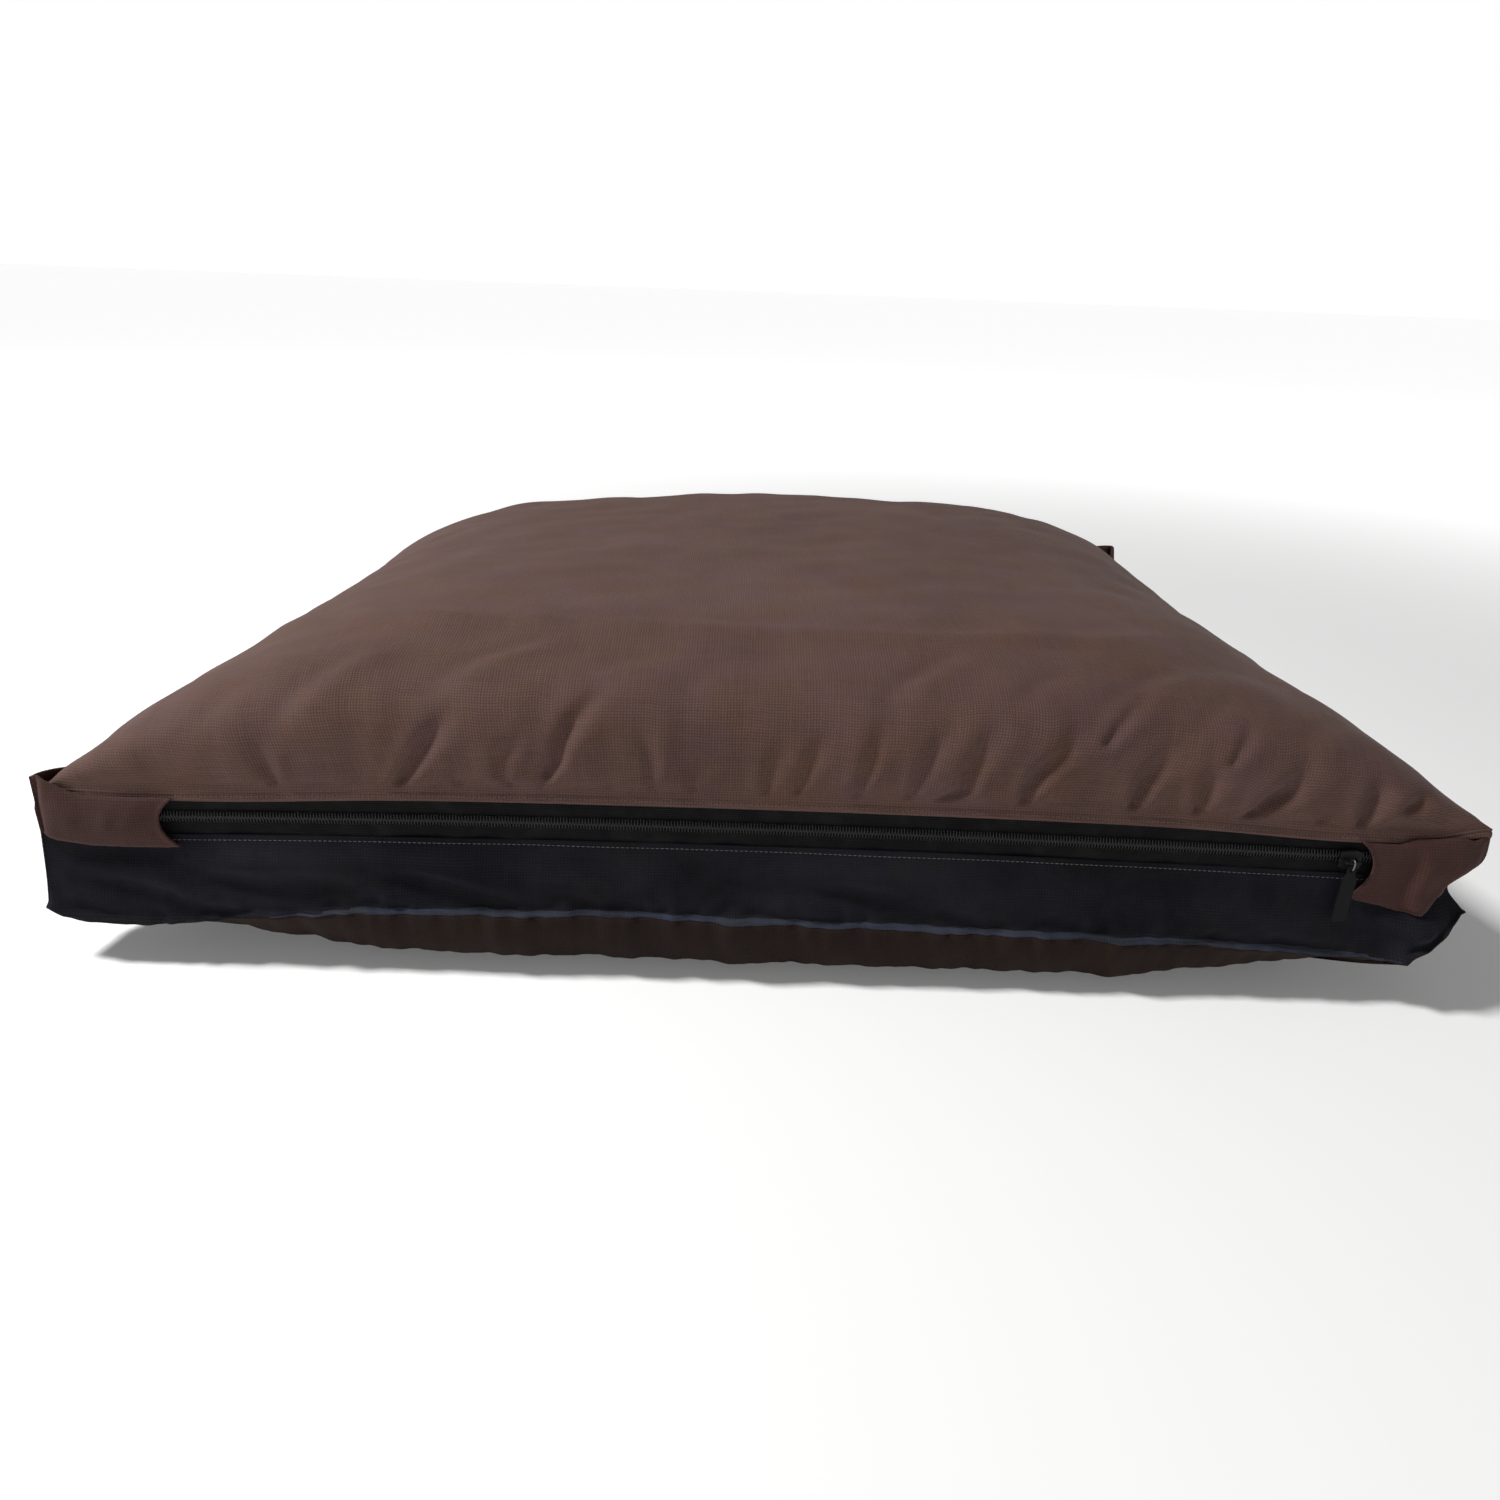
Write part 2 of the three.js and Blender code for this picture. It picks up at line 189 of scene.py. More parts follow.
def woven(name, color, dark, axes="XY", pitch=0.0015, rough=0.82, sheen=0.15, sheen_tint=(1, 1, 1, 1),
          bump=0.55, blotch=0.12, spec=0.25, lint=0.0):
    """Plain-weave coated polyester: crossed threads, slubs, soft tone changes and scuffs."""
    m, nt, bsdf = material(name)
    k = N(nt)
    co = k.new("ShaderNodeTexCoord").outputs["Object"]
    sep = k.new("ShaderNodeSeparateXYZ")
    if axes == "UV":                      # metres measured along the cloth
        nt.links.new(k.new("ShaderNodeUVMap", uv_map="fabric").outputs[0], sep.inputs[0])
        axes = "XY"
    else:
        nt.links.new(co, sep.inputs[0])
    s = {"X": sep.outputs[0], "Y": sep.outputs[1], "Z": sep.outputs[2]}
    # slight waver so the threads are not ruled lines
    wob = k.noise(co, 60.0, 2.0)
    a = k.math("MULTIPLY_ADD", wob, pitch * 1.2, s[axes[0]])
    b = k.math("MULTIPLY_ADD", wob, pitch * 1.2, s[axes[1]])
    w = 2 * math.pi / pitch
    sa = k.math("SINE", k.math("MULTIPLY", a, w / 2))
    sb = k.math("SINE", k.math("MULTIPLY", b, w / 2))
    chk = k.math("MULTIPLY", sa, sb)                       # over and under
    warp = k.math("ABSOLUTE", sa)
    weft = k.math("ABSOLUTE", sb)
    over = k.ramp(chk, -0.35, 0.35)
    h = k.math("ADD", k.math("MULTIPLY", warp, over), k.math("MULTIPLY", weft, k.math("SUBTRACT", 1.0, over)))
    # slubs: threads of slightly different shade along each direction
    def streak(u, v, sc):
        comb = k.new("ShaderNodeCombineXYZ")
        k.put(comb.inputs[0], k.math("MULTIPLY", u, sc))
        k.put(comb.inputs[1], k.math("MULTIPLY", v, sc * 0.04))
        n = k.noise(comb.outputs[0], 1.0, 2.0, 0.6)
        return n
    st = k.math("ADD", streak(s[axes[0]], s[axes[1]], 900.0), streak(s[axes[1]], s[axes[0]], 900.0))
    st = k.ramp(st, 0.7, 1.3, 0.0, 1.0)
    big = k.noise(co, 9.0, 4.0, 0.6)
    mid = k.noise(co, 38.0, 3.0, 0.6)
    tone = k.math("ADD", k.math("MULTIPLY", big, 0.7), k.math("MULTIPLY", mid, 0.3))
    base = k.mix(k.ramp(h, 0.25, 1.0), dark, color)
    base = k.mix(k.ramp(st, 0.0, 1.0, 0.0, 0.55), base, dark)
    light = tuple(min(1.0, c * 1.22) for c in color[:3]) + (1,)
    base = k.mix(k.ramp(tone, 0.42, 0.62, 0.0, blotch * 2.2), base, light)
    base = k.mix(k.ramp(tone, 0.5, 0.36, 0.0, blotch * 2.0), base, dark)
    # hue wanders between a greyer and a warmer brown, as dyed polyester does
    hue = k.noise(co, 22.0, 3.0, 0.6)
    base = k.mix(k.ramp(hue, 0.42, 0.62, 0.0, 0.36), base, k.mix(1.0, base, (0.95, 0.97, 1.30, 1), "MULTIPLY"))
    warm = k.noise(co, 31.0, 3.0, 0.55)
    base = k.mix(k.ramp(warm, 0.48, 0.66, 0.0, 0.38), base, k.mix(1.0, base, (1.08, 1.0, 0.74, 1), "MULTIPLY"))
    if lint:
        fl = k.noise(co, 520.0, 1.0, 0.4)
        base = k.mix(k.ramp(fl, 0.74, 0.80, 0.0, lint), base, (0.5, 0.48, 0.46, 1))
    nt.links.new(base, bsdf.inputs["Base Color"])
    r = k.ramp(k.math("ADD", k.math("MULTIPLY", mid, 0.5), k.math("MULTIPLY", h, 0.5)), 0.2, 0.9, rough + 0.07, rough - 0.08)
    nt.links.new(r, bsdf.inputs["Roughness"])
    bsdf.inputs["Specular IOR Level"].default_value = spec
    bsdf.inputs["Sheen Weight"].default_value = sheen
    bsdf.inputs["Sheen Roughness"].default_value = 0.45
    bsdf.inputs["Sheen Tint"].default_value = sheen_tint
    bp = k.new("ShaderNodeBump")
    bp.inputs["Strength"].default_value = bump
    bp.inputs["Distance"].default_value = 0.00035
    k.put(bp.inputs["Height"], k.math("MULTIPLY_ADD", st, 0.35, h))
    bp2 = k.new("ShaderNodeBump")
    bp2.inputs["Strength"].default_value = 0.25
    bp2.inputs["Distance"].default_value = 0.0009
    k.put(bp2.inputs["Height"], mid)
    nt.links.new(bp2.outputs[0], bp.inputs["Normal"])
    nt.links.new(bp.outputs[0], bsdf.inputs["Normal"])
    return m


def thread_material(name, color, dark, scale=2600.0):
    m, nt, bsdf = material(name)
    k = N(nt)
    co = k.new("ShaderNodeTexCoord").outputs["Object"]
    sep = k.new("ShaderNodeSeparateXYZ")
    nt.links.new(co, sep.inputs[0])
    ply = k.math("SINE", k.math("ADD", k.math("MULTIPLY", sep.outputs[0], scale * 4), k.math("MULTIPLY", sep.outputs[2], scale * 6)))
    n = k.noise(co, 300.0, 2.0)
    base = k.mix(k.ramp(k.math("ADD", ply, k.math("MULTIPLY", n, 2.0)), -0.6, 2.2), dark, color)
    nt.links.new(base, bsdf.inputs["Base Color"])
    bsdf.inputs["Roughness"].default_value = 0.7
    bsdf.inputs["Sheen Weight"].default_value = 0.2
    bp = k.new("ShaderNodeBump")
    bp.inputs["Strength"].default_value = 0.5
    bp.inputs["Distance"].default_value = 0.0001
    k.put(bp.inputs["Height"], ply)
    nt.links.new(bp.outputs[0], bsdf.inputs["Normal"])
    return m


def tape_material(name):
    """Zip tape: fine lengthwise ribs with a cross weave."""
    m, nt, bsdf = material(name)
    k = N(nt)
    co = k.new("ShaderNodeTexCoord").outputs["Object"]
    sep = k.new("ShaderNodeSeparateXYZ")
    nt.links.new(co, sep.inputs[0])
    rib = k.math("SINE", k.math("MULTIPLY", sep.outputs[2], 2 * math.pi / 0.0011))
    xr = k.math("SINE", k.math("MULTIPLY", sep.outputs[0], 2 * math.pi / 0.0008))
    h = k.math("ADD", k.math("MULTIPLY", rib, 0.7), k.math("MULTIPLY", xr, 0.3))
    n = k.noise(co, 90.0, 3.0)
    base = k.mix(k.ramp(h, -1.0, 1.0), (0.0014, 0.0014, 0.0018, 1), (0.0036, 0.0036, 0.0046, 1))
    base = k.mix(k.ramp(n, 0.5, 0.7, 0.0, 0.4), base, (0.0085, 0.0083, 0.0085, 1))
    bsdf.inputs["Specular IOR Level"].default_value = 0.15
    nt.links.new(base, bsdf.inputs["Base Color"])
    k.put(bsdf.inputs["Roughness"], k.ramp(n, 0.3, 0.7, 0.85, 0.7))
    bsdf.inputs["Sheen Weight"].default_value = 0.02
    bp = k.new("ShaderNodeBump")
    bp.inputs["Strength"].default_value = 0.6
    bp.inputs["Distance"].default_value = 0.0002
    k.put(bp.inputs["Height"], h)
    nt.links.new(bp.outputs[0], bsdf.inputs["Normal"])
    return m


def plastic_material(name, color, rough=0.4, grain=400.0):
    m, nt, bsdf = material(name)
    k = N(nt)
    co = k.new("ShaderNodeTexCoord").outputs["Object"]
    n = k.noise(co, grain, 3.0)
    big = k.noise(co, 45.0, 2.0)
    base = k.mix(k.ramp(big, 0.35, 0.65), color, tuple(c * 1.6 for c in color[:3]) + (1,))
    nt.links.new(base, bsdf.inputs["Base Color"])
    k.put(bsdf.inputs["Roughness"], k.ramp(n, 0.3, 0.7, rough - 0.08, rough + 0.12))
    bp = k.new("ShaderNodeBump")
    bp.inputs["Strength"].default_value = 0.15
    bp.inputs["Distance"].default_value = 0.0001
    k.put(bp.inputs["Height"], n)
    nt.links.new(bp.outputs[0], bsdf.inputs["Normal"])
    return m


def metal_material(name, color, rough, worn, edge=0.5, metallic=0.9):
    """Lacquered zinc casting: lacquer with bright metal showing where it has rubbed."""
    m, nt, bsdf = material(name)
    k = N(nt)
    co = k.new("ShaderNodeTexCoord").outputs["Object"]
    geo = k.new("ShaderNodeNewGeometry")
    n = k.noise(co, 700.0, 4.0, 0.6)
    rub = k.math("MULTIPLY", k.ramp(geo.outputs["Pointiness"], 0.56, 0.70), k.ramp(n, 0.46, 0.66))
    rub = k.math("MULTIPLY", rub, edge)
    base = k.mix(rub, color, worn)
    nt.links.new(base, bsdf.inputs["Base Color"])
    bsdf.inputs["Metallic"].default_value = metallic
    bsdf.inputs["Specular IOR Level"].default_value = 0.18 if metallic < 0.5 else 0.5
    k.put(bsdf.inputs["Roughness"], k.ramp(n, 0.3, 0.7, rough - 0.06, rough + 0.12))
    bp = k.new("ShaderNodeBump")
    bp.inputs["Strength"].default_value = 0.12
    bp.inputs["Distance"].default_value = 0.00008
    k.put(bp.inputs["Height"], n)
    nt.links.new(bp.outputs[0], bsdf.inputs["Normal"])
    return m


BROWN = (0.130, 0.0715, 0.0570, 1)
BROWN_D = (0.058, 0.0310, 0.0250, 1)
# band brown, darker than the top: partly a darker fabric, partly painted shade on the garages' down- and outward-facing
# faces and the back right ear's inner face
BAND_DARK_AND_SHADE = (0.063, 0.0272, 0.0220, 1)
BAND_D_DARK_AND_SHADE = (0.034, 0.0155, 0.0125, 1)
# underside brown, darkened as painted shade: the cushion's underside stands in shadow
UNDER_SHADED = (0.0195, 0.0110, 0.0084, 1)
UNDER_D_SHADED = (0.0115, 0.0069, 0.0055, 1)
BLACK = (0.0125, 0.0125, 0.0160, 1)
BLACK_D = (0.0038, 0.0038, 0.0054, 1)
TINT = (0.85, 0.66, 0.62, 1)
M_TOP = woven("brown_weave_top", BROWN, BROWN_D, "UV", pitch=0.0015, sheen=0.06, sheen_tint=TINT, spec=0.2, blotch=0.075)
M_BAND_SHADE_F = woven("brown_weave_front_dark_and_shade", BAND_DARK_AND_SHADE, BAND_D_DARK_AND_SHADE, "XZ", pitch=0.0015, sheen=0.05, sheen_tint=TINT, spec=0.18, blotch=0.08)
M_BAND_SHADE_S = woven("brown_weave_side_dark_and_shade", BAND_DARK_AND_SHADE, BAND_D_DARK_AND_SHADE, "YZ", pitch=0.0015, sheen=0.05, sheen_tint=TINT, spec=0.18, blotch=0.08)
M_UNDER_FLAT_SHADED = woven("brown_weave_base_painted_shade", UNDER_SHADED, UNDER_D_SHADED, "XY", sheen=0.02, sheen_tint=TINT, spec=0.1, blotch=0.08)
M_UNDER_SHADED = woven("brown_weave_under_painted_shade", UNDER_SHADED, UNDER_D_SHADED, "UV", pitch=0.0015, sheen=0.02, sheen_tint=TINT, spec=0.1, blotch=0.16)
M_GUSSET_F = woven("black_weave_front", BLACK, BLACK_D, "XZ", pitch=0.0015, sheen=0.03, sheen_tint=(0.6, 0.7, 1, 1), blotch=0.25, spec=0.07)
M_GUSSET_S = woven("black_weave_side", BLACK, BLACK_D, "YZ", pitch=0.0015, sheen=0.03, sheen_tint=(0.6, 0.7, 1, 1), blotch=0.25, spec=0.12)
# blue-grey seam lip colour: a painted highlight where the lip along the bottom seam catches the light
M_LIP_HIGHLIGHT = woven("black_weave_lip_painted_highlight", (0.030, 0.034, 0.047, 1), (0.011, 0.0125, 0.018, 1), "XZ", sheen=0.05, sheen_tint=(0.6, 0.7, 1, 1), blotch=0.4, spec=0.1)
M_TAPE = tape_material("zip_tape_weave")
M_COIL = plastic_material("nylon_coil", (0.0030, 0.0030, 0.0036, 1), 0.46)
M_SLIDER = metal_material("black_lacquer", (0.0036, 0.0036, 0.0046, 1), 0.50, (0.12, 0.12, 0.115, 1), 0.5, metallic=0.1)
M_RING = metal_material("steel_wire", (0.17, 0.17, 0.185, 1), 0.30, (0.5, 0.5, 0.5, 1), 0.4)
M_TAB = metal_material("black_lacquer_tab", (0.0018, 0.0020, 0.0030, 1), 0.66, (0.03, 0.03, 0.03, 1), 0.3, metallic=0.0)
M_THREAD_B = thread_material("brown_thread", (0.15, 0.090, 0.075, 1), (0.08, 0.046, 0.040, 1))
M_THREAD_G = thread_material("grey_thread", (0.11, 0.108, 0.095, 1), (0.04, 0.039, 0.035, 1))
M_LINER = woven("liner_weave", (0.72, 0.70, 0.64, 1), (0.6, 0.58, 0.52, 1), "XY", sheen=0.1)
M_FIBRE = woven("fibre", (0.86, 0.85, 0.8, 1), (0.7, 0.7, 0.66, 1), "XY", sheen=0.3)


def paint(ob, mat):
    ob.data.materials.clear()
    ob.data.materials.append(mat)
    return ob


# ------------------------------------------------------------------ the cover's shape
def plan(u, v, hx=HX, hy=HY):
    return u * hx * (1 - SIDE_PULL * (1 - v * v)), v * hy * (1 - BACK_PULL * (1 - u * u) * np.maximum(v, 0))


def settle(ob):
    """The back left corner sits lower and further in, the back right one leans in, the front right tip is blunt."""
    n = len(ob.data.vertices)
    co = np.zeros(n * 3)
    ob.data.vertices.foreach_get("co", co)
    co = co.reshape(-1, 3)
    w = np.exp(-((np.hypot(co[:, 0] + HX, co[:, 1] - HY) / 0.085) ** 2))
    k = smooth(co[:, 2], 0.030, 0.100)
    co[:, 0] += 0.011 * w
    co[:, 1] -= 0.006 * w
    co[:, 2] -= 0.011 * w * k
    w = np.exp(-((np.hypot(co[:, 0] - HX, co[:, 1] - HY) / 0.075) ** 2)) * k
    co[:, 0] -= 0.0120 * w
    w = np.exp(-((np.hypot(co[:, 0] - HX, co[:, 1] + HY) / 0.020) ** 2)) * smooth(co[:, 2], 0.086, 0.102)
    co[:, 0] -= 0.0022 * w
    co[:, 2] += 0.0048 * w
    ob.data.vertices.foreach_set("co", co.ravel())
    ob.data.update()


def arch(x):
    """The front edge bows a little: up and back in the middle."""
    return np.clip(1 - (np.asarray(x) / 0.34) ** 2, 0, 1)


ARCH_Z, ARCH_Y = 0.0036, 0.0030
DROOP = 0.0024                    # the hem hangs lower beside the garages


def dome(u, v):
    """Crown profile: rounded from side to side, boxier front to back, slacker at the back corners."""
    a = np.clip(1 - np.abs(u) ** 5.5, 0, 1) ** 0.96
    b = np.clip(1 - np.abs(v) ** 4.7, 0, 1) ** 0.20
    back = np.clip(v, 0, 1)
    return a * b * (1 - 0.44 * u * u * back * back) * (1 - 0.08 * v) / 1.0325


# gathers of the top panel along the front seam, (x, height up the cloth) in metres, and depth
GATHERS = [
    ([(-0.2536, 0.004), (-0.2562, 0.013), (-0.2593, 0.021), (-0.2610, 0.031)], 1.3),
    ([(-0.192, 0.004), (-0.1892, 0.008), (-0.1856, 0.013), (-0.1804, 0.021), (-0.1732, 0.031), (-0.165, 0.042), (-0.158, 0.052)], 2.3),
    ([(-0.1608, 0.003), (-0.1600, 0.014)], 0.9),
    ([(-0.1340, 0.006), (-0.1385, 0.013), (-0.1376, 0.021), (-0.1290, 0.032), (-0.124, 0.040)], 1.2),
    ([(-0.1186, 0.003), (-0.1170, 0.016)], 0.9),
    ([(-0.1150, 0.012), (-0.1093, 0.021), (-0.1067, 0.031), (-0.100, 0.042), (-0.0912, 0.053), (-0.083, 0.066)], 2.0),
    ([(-0.0840, 0.003), (-0.0835, 0.018)], 0.8),
    ([(-0.0603, 0.004), (-0.0618, 0.013), (-0.0612, 0.021), (-0.065, 0.034), (-0.070, 0.045)], 1.0),
    ([(-0.0402, 0.004), (-0.0395, 0.022)], 0.8),
    ([(-0.0026, 0.006), (0.0000, 0.022), (0.0052, 0.034)], 1.1),
    ([(0.0129, 0.006), (0.0170, 0.018), (0.0222, 0.030), (0.0304, 0.042)], 1.3),
    ([(0.0438, 0.006), (0.0459, 0.013), (0.0485, 0.021), (0.0515, 0.031), (0.0546, 0.042), (0.0577, 0.052)], 1.5),
    ([(0.0706, 0.006), (0.0737, 0.013), (0.080, 0.028), (0.0876, 0.042), (0.0933, 0.053)], 1.4),
    ([(0.0866, 0.004), (0.1000, 0.012), (0.1015, 0.021), (0.1057, 0.031), (0.1108, 0.042), (0.1160, 0.053)], 2.1),
    ([(0.1304, 0.005), (0.1320, 0.013), (0.1361, 0.021), (0.1450, 0.031), (0.1530, 0.042), (0.1588, 0.053)], 2.2),
    ([(0.1690, 0.040), (0.178, 0.052), (0.190, 0.066), (0.200, 0.078)], 1.2),
    ([(0.1866, 0.005), (0.1887, 0.013), (0.1912, 0.021), (0.1979, 0.032), (0.2040, 0.043)], 2.4),
    ([(0.2196, 0.005), (0.2216, 0.013), (0.2232, 0.022), (0.2263, 0.034)], 2.0),
    ([(0.2330, 0.034), (0.2400, 0.046), (0.2480, 0.062)], 1.0),
    ([(0.2459, 0.004), (0.2540, 0.013), (0.2649, 0.022), (0.2711, 0.033), (0.2742, 0.044)], 3.0),
    ([(0.2840, 0.005), (0.2876, 0.016)], 1.3),
    ([(0.3051, 0.004), (0.3072, 0.014), (0.3108, 0.024), (0.3134, 0.036)], 2.6),
    ([(0.326, 0.016), (0.336, 0.020), (0.345, 0.022)], 1.6),
]


def top_point(u, v):
    """Outer surface of the top panel, before gathers."""
    x, y = plan(u, v)
    z = Z_SEAM + (CROWN - Z_SEAM) * dome(u, v)
    a = arch(x) * smooth(-v, 0.75, 1.0)
    z = z + 0.0055 * 2.6 * u * (1 - u * u) * smooth(v, -0.4, 0.3) * (1 - np.abs(v) ** 6)   # fuller at the back right
    droop = DROOP * (gauss(x, -0.285, 0.065) + 1.25 * gauss(x, 0.300, 0.060)) * smooth(-v, 0.90, 1.0)
    return np.stack([x, y + ARCH_Y * a, z + ARCH_Z * a - droop], -1)


def profile_rows():
    """Row parameters spaced by length along the cloth, finest over the front gathers."""
    w = np.linspace(0, 1, 24001)
    v = -1 + 2 * (w ** 3 * (10 - 15 * w + 6 * w * w))       # slow near both ends
    q = top_point(np.zeros_like(v), v)
    arc = np.concatenate([[0], np.cumsum(np.linalg.norm(np.diff(q, axis=0), axis=1))])
    n = arc[-1]
    stops = [0.0]
    while stops[-1] < n:
        t = stops[-1]
        stops.append(t + (0.0013 if t < 0.085 else 0.0022 if t < 0.13 else 0.0058 if t < n - 0.12 else 0.0026))
    stops = np.array(stops[:-1])
    stops = stops * n / stops[-1] if stops[-1] < n - 1e-9 else stops
    return np.interp(stops, arc, v)


US_ = np.linspace(-1, 1, 401)
US_ = US_ + 0.012 * np.sin(US_ * math.pi)                     # a little finer at both ends
U, V = np.meshgrid(US_, profile_rows())
P = top_point(U, V)


def normals(P):
    n = np.cross(np.gradient(P, axis=1), np.gradient(P, axis=0))
    return n / np.maximum(np.linalg.norm(n, axis=-1, keepdims=True), 1e-12)


def lengths(P):
    """Distances along the cloth: from the middle column, and up from the front seam."""
    c = np.concatenate([np.zeros((P.shape[0], 1)), np.cumsum(np.linalg.norm(np.diff(P, axis=1), axis=-1), axis=1)], 1)
    c -= c[:, P.shape[1] // 2][:, None]
    t = np.concatenate([np.zeros((1, P.shape[1])), np.cumsum(np.linalg.norm(np.diff(P, axis=0), axis=-1), axis=0)])
    return c, t


def to_polyline(x, t, pts):
    """Signed distance from points (x, t) to a polyline, and the fraction along it."""
    pts = np.array(pts, float)
    seg = np.linalg.norm(np.diff(pts, axis=0), axis=1)
    cum = np.concatenate([[0], np.cumsum(seg)])
    best = np.full(x.shape, 1e9)
    sd = np.full(x.shape, 1e9)
    fr = np.zeros(x.shape)
    for i in range(len(pts) - 1):
        d = (pts[i + 1] - pts[i]) / seg[i]
        rx, rt = x - pts[i, 0], t - pts[i, 1]
        k = rx * d[0] + rt * d[1]
        kc = np.clip(k, 0, seg[i])
        ex, et = rx - kc * d[0], rt - kc * d[1]
        dist = np.hypot(ex, et)
        m = dist < best
        best = np.where(m, dist, best)
        sd = np.where(m, np.sign(ex * d[1] - et * d[0]) * dist, sd)
        fr = np.where(m, (cum[i] + kc) / cum[-1], fr)
    return sd, fr, cum[-1]


S_LEN, T_LEN = lengths(P)
nrm = normals(P)
disp = np.zeros(P.shape[:2])
near = T_LEN < 0.14
for pts, amp in GATHERS:
    sd, fr, ln = to_polyline(P[..., 0], T_LEN, pts)
    w = (0.0022 + 0.0032 * fr) * (0.9 + 0.1 * amp)
    ends = np.exp(-(np.clip(np.abs(sd) / w, 0, 4) ** 2))
    body = smooth(fr, -0.3, 0.08) * (1 - smooth(fr, 0.38, 1.06))
    valley = -np.exp(-((sd / w) ** 2))
    # soft rolls either side, the fuller one to the right
    roll = 0.46 * np.exp(-(((sd - 2.2 * w) / (1.5 * w)) ** 2)) + 0.30 * np.exp(-(((sd + 2.1 * w) / (1.4 * w)) ** 2))
    disp += np.where(near, 0.00150 * amp * body * (valley + roll), 0)
puff = smooth(T_LEN, 0.0035, 0.012) * (1 - smooth(T_LEN, 0.03, 0.075))
disp += 0.0014 * puff * (0.7 + 0.8 * noise1(P[..., 0], 5, 0.055))
disp *= smooth(T_LEN, 0.0028, 0.0075)
# puckers along the other three seams, where the panel is eased on to the band
_rng = np.random.default_rng(11)
n_side = top_point(np.array([[1.0] * 40]), np.linspace(-1, 1, 40)[None])[0]
du_r = np.linalg.norm(P - P[:, -1:, :], axis=-1)
du_l = np.linalg.norm(P - P[:, :1, :], axis=-1)
dv_b = T_LEN[-1:, :] - T_LEN
for dist, along, seed, keep in ((du_r, P[..., 1], 1, P[..., 0] > 0.20), (du_l, P[..., 1], 2, P[..., 0] < -0.20), (dv_b, P[..., 0], 3, P[..., 1] > 0.15)):
    rng = np.random.default_rng(100 + seed)
    x0 = -0.29 if seed < 3 else -0.35
    while x0 < (0.29 if seed < 3 else 0.35):
        sl, ln, wd, am = rng.uniform(-0.5, 0.6), rng.uniform(0.025, 0.075), rng.uniform(0.0035, 0.007), rng.uniform(0.5, 1.6)
        c = x0 + sl * dist
        w = wd * (1 + dist / ln * 0.8)
        d = (along - c) / w
        disp += np.where(keep, 0.001 * am * (-np.exp(-(d ** 2)) + 0.5 * np.exp(-(((np.abs(d) - 2.0) / 1.2) ** 2))) * smooth(dist, 0.002, 0.009) * (1 - smooth(dist, ln * 0.5, ln * 1.4)), 0)
        x0 += rng.uniform(0.016, 0.040)
edge_in = smooth(np.minimum(np.minimum(du_l, du_r), np.minimum(T_LEN, dv_b)), 0.01, 0.10)
